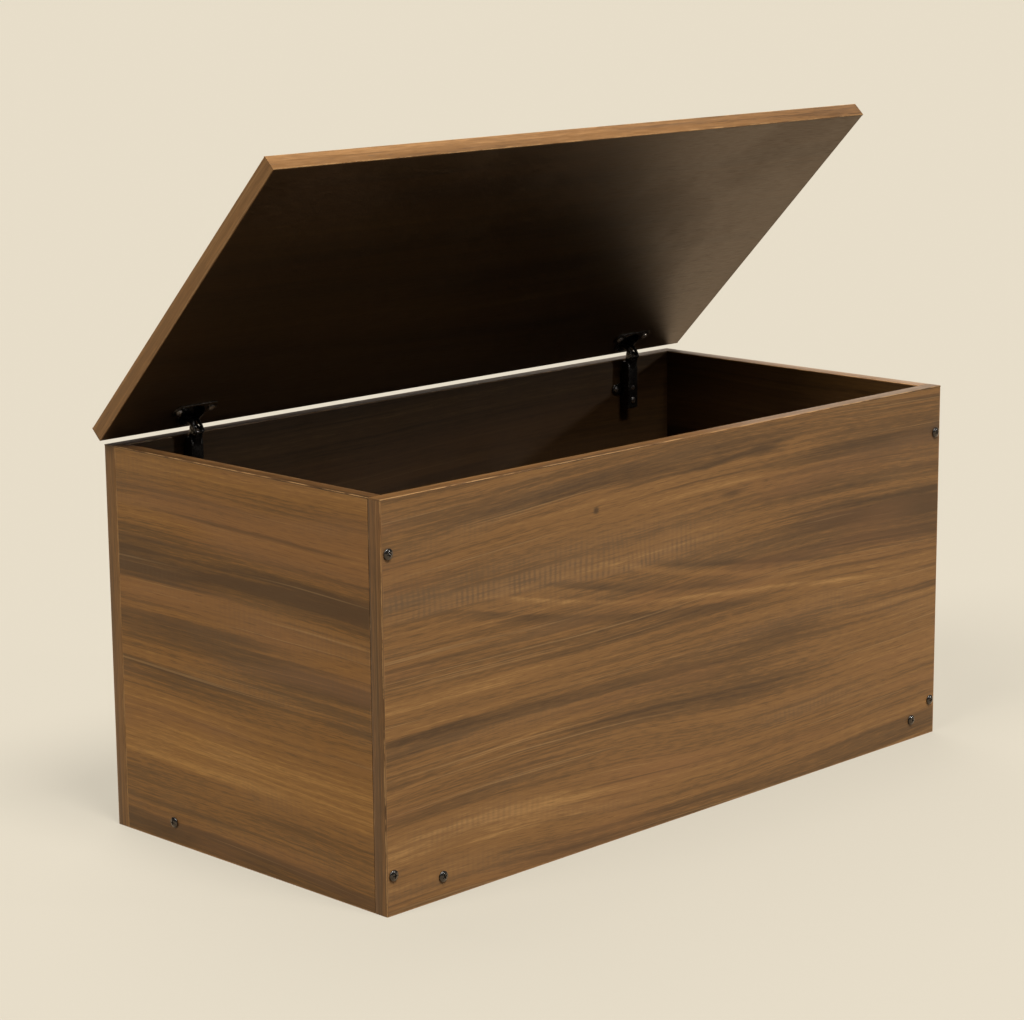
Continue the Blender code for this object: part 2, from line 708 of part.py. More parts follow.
def make_arm(side, x, parts, cutters, steel):
    """Make a hinge arm: a channel over the mounting plate and a forked nose that holds the levers."""
    datum = Matrix.Translation((x, BACK_INNER_Y, BOX_HEIGHT)) @ HINGE_PLANE
    foot = -ARM_FOOT_DROP
    body = [(ARM_STANDOFF, foot)] + arc((ARM_OUT - ARM_CORNER, foot + ARM_CORNER), ARM_CORNER, -90, 0)
    body += [(ARM_OUT, -ARM_ROOT_DROP), (ARM_OUT - ARM_CORNER / 2, -ARM_TOP_DROP)]
    body += [(NOSE_REAR_OUT, -ARM_TOP_DROP), (ARM_STANDOFF, -ARM_ROOT_DROP)]
    arm = make_plate(side + "_hinge_arm", [body], ARM_WIDTH, datum, parts, steel)
    outer = (OUTER_PIVOT_OUT, OUTER_PIVOT_UP)
    inner = (INNER_PIVOT_OUT, INNER_PIVOT_UP)
    nose = [(NOSE_REAR_OUT, -ARM_ROOT_DROP)] + arc(inner, NOSE_RADIUS, 175, 60)
    nose += arc(outer, NOSE_RADIUS, 60, -20) + [(ARM_OUT - ARM_CORNER / 2, -ARM_ROOT_DROP)]
    nose.reverse()
    holes = [circle(outer, HOLE_RADIUS), circle(inner, HOLE_RADIUS)]
    fork = make_plate(side + "_arm_nose", [nose] + holes, 2 * NOSE_OUTER, datum, cutters)
    fuse(arm, fork)
    y = BACK_INNER_Y
    top = BOX_HEIGHT + max(OUTER_PIVOT_UP, INNER_PIVOT_UP) + 2 * NOSE_RADIUS
    slot = make_box(side + "_nose_slot",
                    (x - NOSE_INNER, y - OUTER_PIVOT_OUT - 2 * NOSE_RADIUS, BOX_HEIGHT + NOSE_SLOT_UP),
                    (x + NOSE_INNER, y, top), cutters)
    channel = make_box(side + "_arm_channel",
                       (x - ARM_HALF + ARM_WALL, y - ARM_OUT + ARM_WALL, BOX_HEIGHT + foot - ARM_CORNER),
                       (x + ARM_HALF - ARM_WALL, y, BOX_HEIGHT - ARM_ROOT_DROP - ARM_WALL), cutters)
    cut(arm, slot)
    cut(arm, channel)
    for label, drop, radius in (("side", SIDE_SCREW_DROP, SIDE_SCREW_RADIUS),
                                ("fixing", FIXING_SCREW_DROP, SMALL_SCREW_SHANK_RADIUS)):
        z = BOX_HEIGHT - drop
        ends = [((x, y - ARM_OUT - 2 * MM, z), (x, y - ARM_OUT + 2 * ARM_WALL, z))]
        cut(arm, make_rods(side + "_" + label + "_screw_way", ends, radius + FIT, SCREW_SIDES, cutters))
    ends = [((x - NOSE_OUTER, y - INNER_PIVOT_OUT, BOX_HEIGHT + INNER_PIVOT_UP),
             (x + NOSE_OUTER, y - INNER_PIVOT_OUT, BOX_HEIGHT + INNER_PIVOT_UP))]
    make_rods(side + "_arm_pin", ends, PIN_RADIUS, PIN_SIDES, parts, steel)


def plate_screw_seats(x):
    """Return the seats of a mounting plate's two screws."""
    y = BACK_INNER_Y - FIT - PLATE_THICKNESS
    z = BOX_HEIGHT - PLATE_DROP
    return [((x + sign * PLATE_SCREW_SPACING / 2, y, z), (0, -1, 0)) for sign in (-1, 1)]


def make_mounting_plate(side, x, wall, screws, parts, cutters, steel):
    """Make the cross-shaped plate under an arm, with its screws and the arm's two screws."""
    block_half = ARM_HALF - ARM_WALL - FIT
    block_out = ARM_OUT - ARM_WALL - FIT
    top, foot = -BLOCK_TOP_DROP, -BLOCK_FOOT_DROP
    wing_x = PLATE_SCREW_SPACING / 2
    root = WING_RADIUS + WING_FLARE
    low, high = -PLATE_DROP - root, -PLATE_DROP + root
    loop = [(block_half, high), (block_half, top), (-block_half, top), (-block_half, high)]
    loop += arc((-wing_x, -PLATE_DROP), WING_RADIUS, 90, 270)
    loop += [(-block_half, low), (-block_half, foot), (block_half, foot), (block_half, low)]
    loop += arc((wing_x, -PLATE_DROP), WING_RADIUS, -90, 90)
    hole = SMALL_SCREW_SHANK_RADIUS + FIT
    holes = [circle((sign * wing_x, -PLATE_DROP), hole) for sign in (-1, 1)]
    middle = BACK_INNER_Y - FIT - PLATE_THICKNESS / 2
    facing = Matrix.Translation((x, middle, BOX_HEIGHT)) @ WALL_PLANE
    plate = make_plate(side + "_mounting_plate", [loop] + holes, PLATE_THICKNESS, facing, parts, steel)
    block = make_box(side + "_plate_block",
                     (x - block_half + FIT, BACK_INNER_Y - block_out, BOX_HEIGHT + foot + FIT),
                     (x + block_half - FIT, middle, BOX_HEIGHT + top - FIT), cutters)
    fuse(plate, block)
    face = BACK_INNER_Y - ARM_OUT
    side_z, fixing_z = BOX_HEIGHT - SIDE_SCREW_DROP, BOX_HEIGHT - FIXING_SCREW_DROP
    side_ends = [((x, face - SIDE_SCREW_PROUD, side_z), (x, face + SIDE_SCREW_LENGTH, side_z))]
    make_rods(side + "_side_screw", side_ends, SIDE_SCREW_RADIUS, SCREW_SIDES, parts, steel)
    side_way = [((x, face, side_z), (x, face + SIDE_SCREW_LENGTH + FIT, side_z))]
    cut(plate, make_rods(side + "_side_screw_seat", side_way, SIDE_SCREW_RADIUS + FIT, SCREW_SIDES, cutters))
    seat = [((x, face, fixing_z), (0, -1, 0))]
    make_screws(side + "_fixing_screw", screws["fixing"], seat, parts, steel)
    cut(plate, screw_holes(side + "_fixing_screw_hole", seat, FIXING_SCREW_LENGTH + FIT,
                           SMALL_SCREW_SHANK_RADIUS, cutters))
    seats = plate_screw_seats(x)
    make_screws(side + "_plate_screw", screws["plate"], seats, parts, steel)
    cut(wall, screw_holes(side + "_plate_screw_holes", seats, PLATE_SCREW_LENGTH + FIT,
                          SMALL_SCREW_SHANK_RADIUS, cutters))


def make_hinge_screws():
    """Return the three lengths of small screw that the hinges use."""
    lengths = {"cup": CUP_SCREW_LENGTH, "plate": PLATE_SCREW_LENGTH, "fixing": FIXING_SCREW_LENGTH}
    return {name: screw_mesh(name + "_screw", SMALL_SCREW_HEAD_RADIUS, SMALL_SCREW_HEAD_HEIGHT,
                             SMALL_SCREW_SHANK_RADIUS, length) for name, length in lengths.items()}


def main():
    """Build the whole ottoman."""
    clear_scene()
    parts = new_collection("storage_ottoman")
    cutters = new_collection("guides")
    boards = new_material("walnut_board", (0.20, 0.105, 0.05), 0.45, 0.0)
    edging = new_material("walnut_edging", (0.27, 0.15, 0.08), 0.40, 0.0)
    black = new_material("black_screw", (0.02, 0.02, 0.022), 0.35, 0.6)
    steel = new_material("black_hinge", (0.03, 0.03, 0.033), 0.30, 0.8)
    walls = make_box_walls(parts, cutters, boards, edging, black)
    lid = make_lid(parts, cutters, boards, edging)
    screws = make_hinge_screws()
    for side, x in hinge_places().items():
        lid += make_cup(side, x, lid[0], screws["cup"], parts, cutters, steel)
        make_levers(side, x, parts, cutters, steel)
        make_arm(side, x, parts, cutters, steel)
        make_mounting_plate(side, x, walls["back"], screws, parts, cutters, steel)
    closed, _ = closed_cup_pivots()
    opened, _ = open_cup_pivots()
    lid_axis = new_pivot("lid_axis", (0, closed.x, closed.y), cutters)
    hang(lid, lid_axis)
    lid_axis.location = (0, opened.x, opened.y)
    lid_axis.rotation_euler = (-REST_OPENING, 0, 0)
    bpy.context.view_layer.update()


main()
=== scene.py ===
"""Looks of a storage ottoman: a chest of walnut-faced board whose lid stands open on two cup hinges.

The boards keep their CAD solids and get a printed walnut decor of their own. The edging strips and the
cross-recess screws are made by Geometry Nodes from the places of their CAD nodes, and the hinge parts
are rounded copies of theirs. Lengths are in metres, and the origin lies on the floor under the box.
"""

import json
import logging
import math
from dataclasses import asdict, dataclass
from enum import Enum

import bmesh
import bpy
from mathutils import Euler, Matrix, Vector

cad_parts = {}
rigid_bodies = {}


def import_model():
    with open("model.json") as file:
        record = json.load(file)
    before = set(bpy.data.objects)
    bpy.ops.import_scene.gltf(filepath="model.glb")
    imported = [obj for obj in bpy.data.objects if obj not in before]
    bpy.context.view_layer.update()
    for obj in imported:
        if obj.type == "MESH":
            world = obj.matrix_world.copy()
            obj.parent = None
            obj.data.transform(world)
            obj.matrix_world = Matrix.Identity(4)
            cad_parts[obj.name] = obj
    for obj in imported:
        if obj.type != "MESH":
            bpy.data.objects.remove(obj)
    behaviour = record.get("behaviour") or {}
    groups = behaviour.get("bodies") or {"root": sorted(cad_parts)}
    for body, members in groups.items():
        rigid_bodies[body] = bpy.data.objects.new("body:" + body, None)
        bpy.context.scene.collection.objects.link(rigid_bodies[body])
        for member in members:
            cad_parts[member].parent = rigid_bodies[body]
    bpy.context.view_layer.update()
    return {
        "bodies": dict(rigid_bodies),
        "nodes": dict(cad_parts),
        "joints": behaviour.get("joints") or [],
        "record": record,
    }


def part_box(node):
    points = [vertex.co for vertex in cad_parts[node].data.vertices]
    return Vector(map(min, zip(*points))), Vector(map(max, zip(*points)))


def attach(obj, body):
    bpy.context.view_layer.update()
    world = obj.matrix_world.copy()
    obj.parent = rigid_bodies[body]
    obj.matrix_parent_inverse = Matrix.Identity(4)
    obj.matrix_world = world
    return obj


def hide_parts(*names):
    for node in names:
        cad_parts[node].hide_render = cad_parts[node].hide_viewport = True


LOG = logging.getLogger("storage_ottoman")
MM = 0.001

REST_OPENING = math.radians(46)
LID_PIVOT_CLOSED = Vector((0.0, 0.2059, 0.4291))
LID_PIVOT_REST = Vector((0.0, 0.2033919, 0.4400771))

SIDES = ("left", "right")

Object = bpy.types.Object
Material = bpy.types.Material
Socket = bpy.types.NodeSocket
Span = tuple[float, float, float]
Colour = tuple[float, float, float, float]
Corners = tuple[Vector, Vector]
Nodes = dict[str, Object]


class Slot(Enum):
    """Names of material slots; each screw set chooses its metal by its slot."""

    EDGING = "walnut_edging"
    SCREW = "black_screw"
    HINGE = "black_hinge"


class Way(Enum):
    """A way that a strip or a screw faces while the lid is closed."""

    LEFT = (-1, 0, 0)
    RIGHT = (1, 0, 0)
    FORWARDS = (0, -1, 0)
    BACKWARDS = (0, 1, 0)
    DOWN = (0, 0, -1)
    UP = (0, 0, 1)


class Kind(Enum):
    """What a socket of a node tree carries."""

    VALUE = "Float"
    COUNT = "Int"
    VECTOR = "Vector"
    COLOUR = "Color"
    MATERIAL = "Material"
    SHAPE = "Geometry"


def paint(red: float, green: float, blue: float) -> Colour:
    """Return a linear colour from the 0 to 255 values that a screen shows.

    Args:
        red: Red on the screen.
        green: Green on the screen.
        blue: Blue on the screen.

    Returns:
        The linear red, green and blue, and an alpha of 1.
    """
    linear = []
    for value in (red, green, blue):
        share = value / 255
        linear.append(share / 12.92 if share <= 0.04045 else ((share + 0.055) / 1.055) ** 2.4)
    return (*linear, 1.0)


def closed_to_rest() -> Matrix:
    """Return the matrix that takes the closed lid to its place at rest."""
    turn = Matrix.Rotation(-REST_OPENING, 4, "X")
    return Matrix.Translation(LID_PIVOT_REST) @ turn @ Matrix.Translation(-LID_PIVOT_CLOSED)


@dataclass(frozen=True)
class Grain:
    """A noise. Its scale is how many times it changes for each metre of each axis.

    Detail is how many finer layers it has, and roughness how strong they are. The shift moves it, so that two
    noises of one scale differ. Where spots are given, its values from the first to the second number are mapped
    from 0 to 1, or from the third to the fourth.
    """

    scale: Span
    detail: float
    roughness: float = 0.5
    shift: float = 0.0
    spots: tuple[float, ...] = ()


class Sheet:
    """A node tree that is filled in step by step."""

    def __init__(self, tree: bpy.types.NodeTree) -> None:
        """Take an empty tree."""
        self.tree = tree

    def feed(self, socket: Socket, value: object) -> None:
        """Link an input to an output, or set it.

        Args:
            socket: The input.
            value: The output socket to link, or a plain value.
        """
        if isinstance(value, Socket):
            self.tree.links.new(value, socket)
        else:
            socket.default_value = value

    def add(self, kind: str, inputs: dict | None = None, **settings: object) -> bpy.types.Node:
        """Add a node.

        Args:
            kind: The node's type name.
            inputs: Values or output sockets, by input name or number. A list is linked in its order.
            settings: The node's own properties.

        Returns:
            The new node.
        """
        node = self.tree.nodes.new(kind)
        for name, value in settings.items():
            setattr(node, name, value)
        for name, value in (inputs or {}).items():
            for item in value if isinstance(value, list) else [value]:
                self.feed(node.inputs[name], item)
        return node

    def out(self, kind: str, inputs: dict | None = None, **settings: object) -> Socket:
        """Add a node and return its first output."""
        return self.add(kind, inputs, **settings).outputs[0]

    def math(self, operation: str, first: object, second: object = 0.0, third: object = 0.0) -> Socket:
        """Add a Math node and return its result."""
        return self.out("ShaderNodeMath", {0: first, 1: second, 2: third}, operation=operation)

    def times(self, first: object, second: object) -> Socket:
        """Return a product."""
        return self.math("MULTIPLY", first, second)

    def less(self, first: object, second: object) -> Socket:
        """Return a difference."""
        return self.math("SUBTRACT", first, second)

    def scaled(self, value: object, factor: object, start: object) -> Socket:
        """Return a value times a factor, on top of a start."""
        return self.math("MULTIPLY_ADD", value, factor, start)

    def vector(self, operation: str, *vectors: object) -> Socket:
        """Add a Vector Math node and return its vector."""
        return self.out("ShaderNodeVectorMath", dict(enumerate(vectors)), operation=operation)

    def parts(self, vector: Socket) -> list[Socket]:
        """Return a vector's three numbers."""
        return list(self.add("ShaderNodeSeparateXYZ", {0: vector}).outputs)

    def join(self, first: object, second: object, third: object) -> Socket:
        """Return a vector made of three numbers."""
        return self.out("ShaderNodeCombineXYZ", {0: first, 1: second, 2: third})

    def fade(self, value: object, start: object, end: object, low: object = 0.0, high: object = 1.0,
             smooth: bool = True) -> Socket:
        """Return a value mapped from start and end to low and high and clamped, with soft or plain ends."""
        kind = "SMOOTHSTEP" if smooth else "LINEAR"
        return self.out("ShaderNodeMapRange", {0: value, 1: start, 2: end, 3: low, 4: high}, interpolation_type=kind)

    def mix(self, share: object, first: object, second: object, blend: str = "MIX") -> Socket:
        """Return a mix of two colours."""
        colours = {0: share, 6: first, 7: second}
        return self.add("ShaderNodeMix", colours, data_type="RGBA", blend_type=blend).outputs[2]

    def stain(self, colour: object, mask: object, weight: float, stain: object) -> Socket:
        """Return a colour with a stain where a mask is high."""
        return self.mix(self.times(mask, weight), colour, stain)

    def noise(self, place: Socket, grain: Grain) -> Socket:
        """Return a noise.

        Args:
            place: Where to read it, in metres.
            grain: Its sizes.

        Returns:
            A value about 0.5, or the grain's spots.
        """
        shift = (grain.shift, -grain.shift, grain.shift * 0.5)
        value = self.out("ShaderNodeTexNoise", {
            "Vector": self.vector("MULTIPLY_ADD", place, grain.scale, shift), "Scale": 1.0, "Detail": grain.detail,
            "Roughness": grain.roughness})
        return self.fade(value, *grain.spots) if grain.spots else value


SHADES = ("Dark", "Brown", "Middle", "Light")


class Block(Sheet):
    """A node tree of its own, with named inputs and outputs."""

    TREE = ""
    KINDS = {}

    def __init__(self, name: str, inputs: str, outputs: str) -> None:
        """Make the tree and its sockets, which carry plain values unless KINDS says what.

        Args:
            name: The tree's name.
            inputs: The names of the inputs, with commas between them.
            outputs: The names of the outputs.
        """
        super().__init__(bpy.data.node_groups.new(name, self.TREE))
        for way, labels in (("INPUT", inputs), ("OUTPUT", outputs)):
            for label in labels.split(", "):
                kind = self.KINDS.get(label, Kind.VALUE)
                self.tree.interface.new_socket(name=label, in_out=way, socket_type="NodeSocket" + kind.value)
        self.given = self.add("NodeGroupInput").outputs
        self.result = self.add("NodeGroupOutput").inputs

    def put(self, label: str, value: Socket) -> None:
        """Put a value out."""
        self.feed(self.result[label], value)


class Group(Block):
    """A shader node group."""

    TREE = "ShaderNodeTree"
    KINDS = {"Place": Kind.VECTOR, "Half": Kind.VECTOR, "Colour": Kind.COLOUR, **dict.fromkeys(SHADES, Kind.COLOUR)}

    def seeded(self, slope: float) -> Socket:
        """Return the given place, moved along by the given seed and across by the seed times a slope."""
        seed = self.given["Seed"]
        return self.vector("ADD", self.given["Place"], self.join(seed, self.times(seed, slope), 0.0))

    def use(self, sheet: Sheet, values: dict[str, object]) -> bpy.types.bpy_prop_collection:
        """Place the group in another tree and return its outputs."""
        return sheet.add("ShaderNodeGroup", values, node_tree=self.tree).outputs


# Shared effects

WALNUT_PALETTE = (paint(68, 50, 32), paint(94, 69, 41), paint(121, 88, 50), paint(154, 117, 69))
FRONT_PALETTE = (paint(67, 48, 30), paint(92, 66, 39), paint(118, 84, 48), paint(151, 113, 67))
# Painted light: a more saturated copy of the palette for the end panels, which lack the front's pale sheen.
END_LESS_SHEEN_PALETTE = (paint(66, 45, 24), paint(91, 63, 31), paint(119, 82, 40), paint(151, 110, 58))
EDGING_PALETTE = (paint(50, 34, 19), paint(76, 52, 29), paint(102, 71, 39), paint(128, 93, 56))

WALNUT = {
    "broad": Grain((1.1, 15, 6), 2.0, 0.5, 5.0),
    "rings": Grain((1.6, 62, 9), 3.0, 0.55, 9.0),
    "lines": Grain((2.6, 260, 20), 4.0, 0.65, 13.0),
    "fibres": Grain((48, 760, 60), 2.0, 0.6, 17.0),
    "warm": Grain((2.2, 18, 5), 2.0, 0.5, 21.0, (0.48, 0.68)),
    "vein": Grain((1.3, 120, 14), 2.0, 0.5, 25.0, (0.60, 0.70)),
    "vein_gate": Grain((2.4, 14, 4), 1.0, 0.5, 29.0, (0.44, 0.60)),
    "pore": Grain((42, 1300, 90), 1.0, 0.5, 33.0, (0.62, 0.74)),
    "hair": Grain((1.5, 380, 30), 1.0, 0.5, 53.0, (0.66, 0.73)),
    "hair_gate": Grain((3, 12, 5), 1.0, 0.5, 57.0, (0.40, 0.58)),
    "bow": Grain((9, 9, 3), 1.0, 0.5, 37.0),
    "belt": Grain((2.6, 17, 4), 2.0, 0.5, 41.0, (0.52, 0.68)),
    "broken": Grain((45, 60, 9), 1.0, 0.5, 45.0, (0.32, 0.62, 0.30, 1.0)),
    "smudge": Grain((7, 7, 7), 3.0, 0.6, 49.0, (0.4, 0.65, 0.0, 0.07)),
}
TONE_WEIGHTS = {"broad": 0.70, "rings": 0.50, "lines": 0.84, "fibres": 0.60}
TONE_MIDDLE = 0.52
SHADE_RANGES = {"Brown": (0.05, 0.36), "Middle": (0.30, 0.56), "Light": (0.54, 0.92)}
STAINS = {
    "warm": (0.40, paint(120, 83, 52)), "vein": (0.55, paint(58, 41, 27)), "pore": (0.42, paint(62, 44, 28)),
    "hair": (0.20, paint(182, 146, 100)), "belt": (0.12, paint(136, 112, 86)), "ripple": (0.46, paint(86, 67, 48)),
}
RIPPLE_LENGTH = 7.6 * MM
RIPPLE_BOW = 2.6
RIPPLE_TROUGH = -0.7
ROUGHNESS = (0.35, 0.65, 0.36, 0.46)
PORE_ROUGHNESS = 0.12
RELIEF = {"fibres": 0.5, "pore": -0.6, "lines": 0.25}

WANDER_BROAD = Grain((1.6, 4, 3), 1.0, 0.4)
WANDER_FINE = Grain((7, 26, 9), 1.0, 0.5, 3.0)
WANDER_FINE_SHARE = 0.10
WANDER_MIDDLE = 0.55
RUB_AND_HIGHLIGHT_PATCHES = Grain((38, 38, 38), 4.0, 0.65, 4.0, (0.38, 0.68, 0.15, 1.5))


def make_wander() -> Group:
    """Make the group that lets the grain wander across a board as it runs along it.

    Returns:
        The group.
    """
    group = Group("grain_wander", "Place, Reach, Seed", "Place")
    shifted = group.seeded(1.7)
    broad, fine = group.noise(shifted, WANDER_BROAD), group.noise(shifted, WANDER_FINE)
    swing = group.scaled(fine, WANDER_FINE_SHARE, group.less(broad, WANDER_MIDDLE))
    along, across, through = group.parts(group.given["Place"])
    group.put("Place", group.join(along, group.scaled(swing, group.given["Reach"], across), through))
    return group


def make_band() -> Group:
    """Make the group that marks one long band of the grain, with a firm and a soft side.

    Returns:
        The group.
    """
    group = Group("grain_band", "Place, Height, Slope, Bend, Above, Below, Start, End, Fade, Strength, Breaks, Tone",
                  "Tone")
    given = group.given
    along, across, _ = group.parts(given["Place"])
    lean = group.scaled(given["Bend"], along, given["Slope"])
    offset = group.less(across, group.scaled(lean, along, given["Height"]))
    upper = group.math("DIVIDE", offset, given["Above"])
    lower = group.math("DIVIDE", group.times(offset, -1.0), given["Below"])
    share = group.fade(group.math("MAXIMUM", upper, lower), 0.0, 1.0, 1.0, 0.0)
    ends = [group.math(way, given[end], given["Fade"]) for end in ("Start", "End") for way in ("SUBTRACT", "ADD")]
    enter = group.fade(along, ends[0], ends[1])
    leave = group.fade(along, ends[2], ends[3], 1.0, 0.0)
    mask = group.times(group.times(share, given["Breaks"]), group.times(enter, leave))
    group.put("Tone", group.scaled(mask, given["Strength"], given["Tone"]))
    return group


def make_decor() -> Group:
    """Make the group that draws the walnut decor from a place on the board and a tone.

    Returns:
        The group.
    """
    group = Group("walnut_decor", ", ".join(("Place", "Tone", "Ripple", "Belt", "Seed") + SHADES),
                  "Colour, Roughness, Height")
    given = group.given
    place = group.seeded(2.3)
    drawn = {name: group.noise(place, grain) for name, grain in WALNUT.items()}
    for name in ("vein", "hair"):
        drawn[name] = group.times(drawn[name], drawn[name + "_gate"])
    along = group.parts(place)[0]
    turn = group.scaled(along, math.tau / RIPPLE_LENGTH, group.times(drawn["bow"], math.tau * RIPPLE_BOW))
    wave = group.fade(group.math("SINE", turn), RIPPLE_TROUGH, 1.0)
    drawn["belt"] = group.math("MAXIMUM", group.times(drawn["belt"], given["Ripple"]), given["Belt"])
    drawn["ripple"] = group.times(group.times(wave, drawn["belt"]), drawn["broken"])

    tone = given["Tone"]
    for name, weight in TONE_WEIGHTS.items():
        tone = group.scaled(group.less(drawn[name], 0.5), weight, tone)
    tone = group.math("ADD", tone, TONE_MIDDLE)
    colour = given["Dark"]
    for shade, (start, end) in SHADE_RANGES.items():
        colour = group.mix(group.fade(tone, start, end), colour, given[shade])
    for name, (weight, stain) in STAINS.items():
        colour = group.stain(colour, drawn[name], weight, stain)
    group.put("Colour", colour)

    rough = group.math("ADD", group.fade(drawn["fibres"], *ROUGHNESS, smooth=False), drawn["smudge"])
    group.put("Roughness", group.scaled(drawn["pore"], PORE_ROUGHNESS, rough))
    depth = group.scaled(drawn["pore"], RELIEF["pore"], group.times(drawn["fibres"], RELIEF["fibres"]))
    group.put("Height", group.scaled(drawn["lines"], RELIEF["lines"], depth))
    return group


def make_rub_and_highlight() -> Group:
    """Make the group that marks a board's edges, where they are rubbed and carry a painted highlight.

    Returns:
        The group.
    """
    group = Group("edge_rub", "Place, Half, Width", "Mask")
    given = group.given
    inside = group.vector("SUBTRACT", given["Half"], group.vector("ABSOLUTE", given["Place"]))
    first, second, third = group.parts(inside)
    low, high = group.math("MINIMUM", first, second), group.math("MAXIMUM", first, second)
    edge = group.math("MAXIMUM", low, group.math("MINIMUM", high, third))
    width = group.times(given["Width"], group.noise(given["Place"], RUB_AND_HIGHLIGHT_PATCHES))
    group.put("Mask", group.fade(edge, 0.0, width, 1.0, 0.0))
    return group


class Effects:
    """The node groups that several finishes share, each built once."""

    def __init__(self) -> None:
        """Build the groups."""
        self.wander = make_wander()
        self.band = make_band()
        self.decor = make_decor()
        self.rub = make_rub_and_highlight()


# Finishes

BOARD_IOR = 1.5
BOARD_TINT = (1.0, 0.88, 0.72, 1.0)


class Finish(Sheet):
    """A material's tree around one Principled shader."""

    def __init__(self, name: str) -> None:
        """Make the material."""
        self.material = bpy.data.materials.new(name)
        self.material.use_nodes = True
        self.material.node_tree.nodes.clear()
        super().__init__(self.material.node_tree)
        self.shader = self.add("ShaderNodeBsdfPrincipled")
        self.add("ShaderNodeOutputMaterial", {0: self.shader.outputs[0]})

    def wear(self, inputs: dict[str, object]) -> Material:
        """Feed the shader's inputs.

        Args:
            inputs: Values or output sockets, by the shader's input name.

        Returns:
            The material.
        """
        for label, value in inputs.items():
            self.feed(self.shader.inputs[label], value)
        return self.material

    def stored(self, name: str, output: str = "Fac") -> Socket:
        """Return an attribute of the piece."""
        return self.add("ShaderNodeAttribute", attribute_name=name).outputs[output]

    def bump(self, height: Socket, distance: float, strength: float) -> Socket:
        """Return the normal that a height from 0 to 1 gives, where 1 stands for a distance in metres."""
        return self.out("ShaderNodeBump", {"Height": height, "Distance": distance, "Strength": strength})


@dataclass(frozen=True)
class Band:
    """A long band of the printed grain. Places are in metres from the board's middle.

    Height, slope and bend give its middle line, above and below its reach on either side of it. It runs from
    start to end, fades over a length there, and adds its strength to the tone.
    """

    height: float
    slope: float
    bend: float
    above: float
    below: float
    start: float
    end: float
    strength: float
    fade: float = 0.09

    def values(self) -> dict[str, float]:
        """Return the band as the inputs of its node group."""
        return {name.capitalize(): value for name, value in asdict(self).items()}


@dataclass(frozen=True)
class WalnutDecor:
    """Board faced with printed walnut paper, its grain along one axis of the board.

    The middle and the turn take the room's coordinates to the board's, and half is half the board's size. The
    face that inner points to is darkened by painted shade, to the share inner_shade.
    """

    middle: Span
    half: Span
    turn: Span = (0.0, 0.0, 0.0)
    seed: float = 0.0
    ripple: float = 1.0
    tone: float = 0.0
    gloss: float = 0.35
    tint: Colour = BOARD_TINT
    palette: tuple[Colour, ...] = WALNUT_PALETTE
    inner: int = 1
    inner_shade: float = 0.40
    inner_depths: tuple[float, float] = (1.0 * MM, 0.5 * MM)
    bands: tuple[Band, ...] = ()
    belts: tuple[Band, ...] = ()
    reach: float = 0.045
    rubbed: Colour = paint(158, 120, 80)
    rub_share: float = 0.35
    rub_width: float = 1.4 * MM
    rub_roughness: float = 0.10
    relief: float = 0.06 * MM
    relief_share: float = 0.6
    breaks: Grain = Grain((4, 75, 9), 4.0, 0.6, 2.0, (0.32, 0.60, 0.45, 1.15))

    def material(self, name: str, effects: Effects) -> Material:
        """Build the material, which reads the place on the board from Object coordinates.

        Args:
            name: The material's name.
            effects: The shared node groups.

        Returns:
            The material.
        """
        sheet = Finish(name)
        turned = Euler(self.turn).to_matrix() @ Vector(self.middle)
        place = sheet.out("ShaderNodeMapping", {
            "Vector": sheet.add("ShaderNodeTexCoord").outputs["Object"], "Location": tuple(-turned),
            "Rotation": self.turn})
        flowing = effects.wander.use(sheet, {"Place": place, "Reach": self.reach, "Seed": self.seed})[0]
        breaks = sheet.noise(flowing, self.breaks)
        tones = [self.tone, 0.0]
        for number, figure in enumerate((self.bands, self.belts)):
            for band in figure:
                tones[number] = effects.band.use(sheet, {
                    "Place": flowing, "Breaks": breaks, "Tone": tones[number], **band.values()})[0]
        drawn = effects.decor.use(sheet, {
            "Place": flowing, "Tone": tones[0], "Seed": self.seed, "Ripple": self.ripple, "Belt": tones[1],
            **dict(zip(SHADES, self.palette))})
        # The board's edges are lightened: partly rub, partly a painted highlight along them.
        rubbed = effects.rub.use(sheet, {"Place": place, "Half": self.half, "Width": self.rub_width})[0]
        colour = sheet.stain(drawn["Colour"], rubbed, self.rub_share, self.rubbed)
        # Painted shade: the inner face's colour is darkened, for the shade inside the chest and under the lid.
        depth = sheet.times(sheet.parts(place)[2], self.inner)
        start, end = (self.half[2] - inside for inside in self.inner_depths)
        shade = sheet.fade(depth, start, end, 1.0, self.inner_shade)
        return sheet.wear({
            "Base Color": sheet.mix(1.0, colour, sheet.join(shade, shade, shade), "MULTIPLY"),
            "Roughness": sheet.scaled(rubbed, self.rub_roughness, drawn["Roughness"]),
            "IOR": BOARD_IOR, "Specular IOR Level": self.gloss, "Specular Tint": self.tint,
            "Normal": sheet.bump(drawn["Height"], self.relief, self.relief_share)})


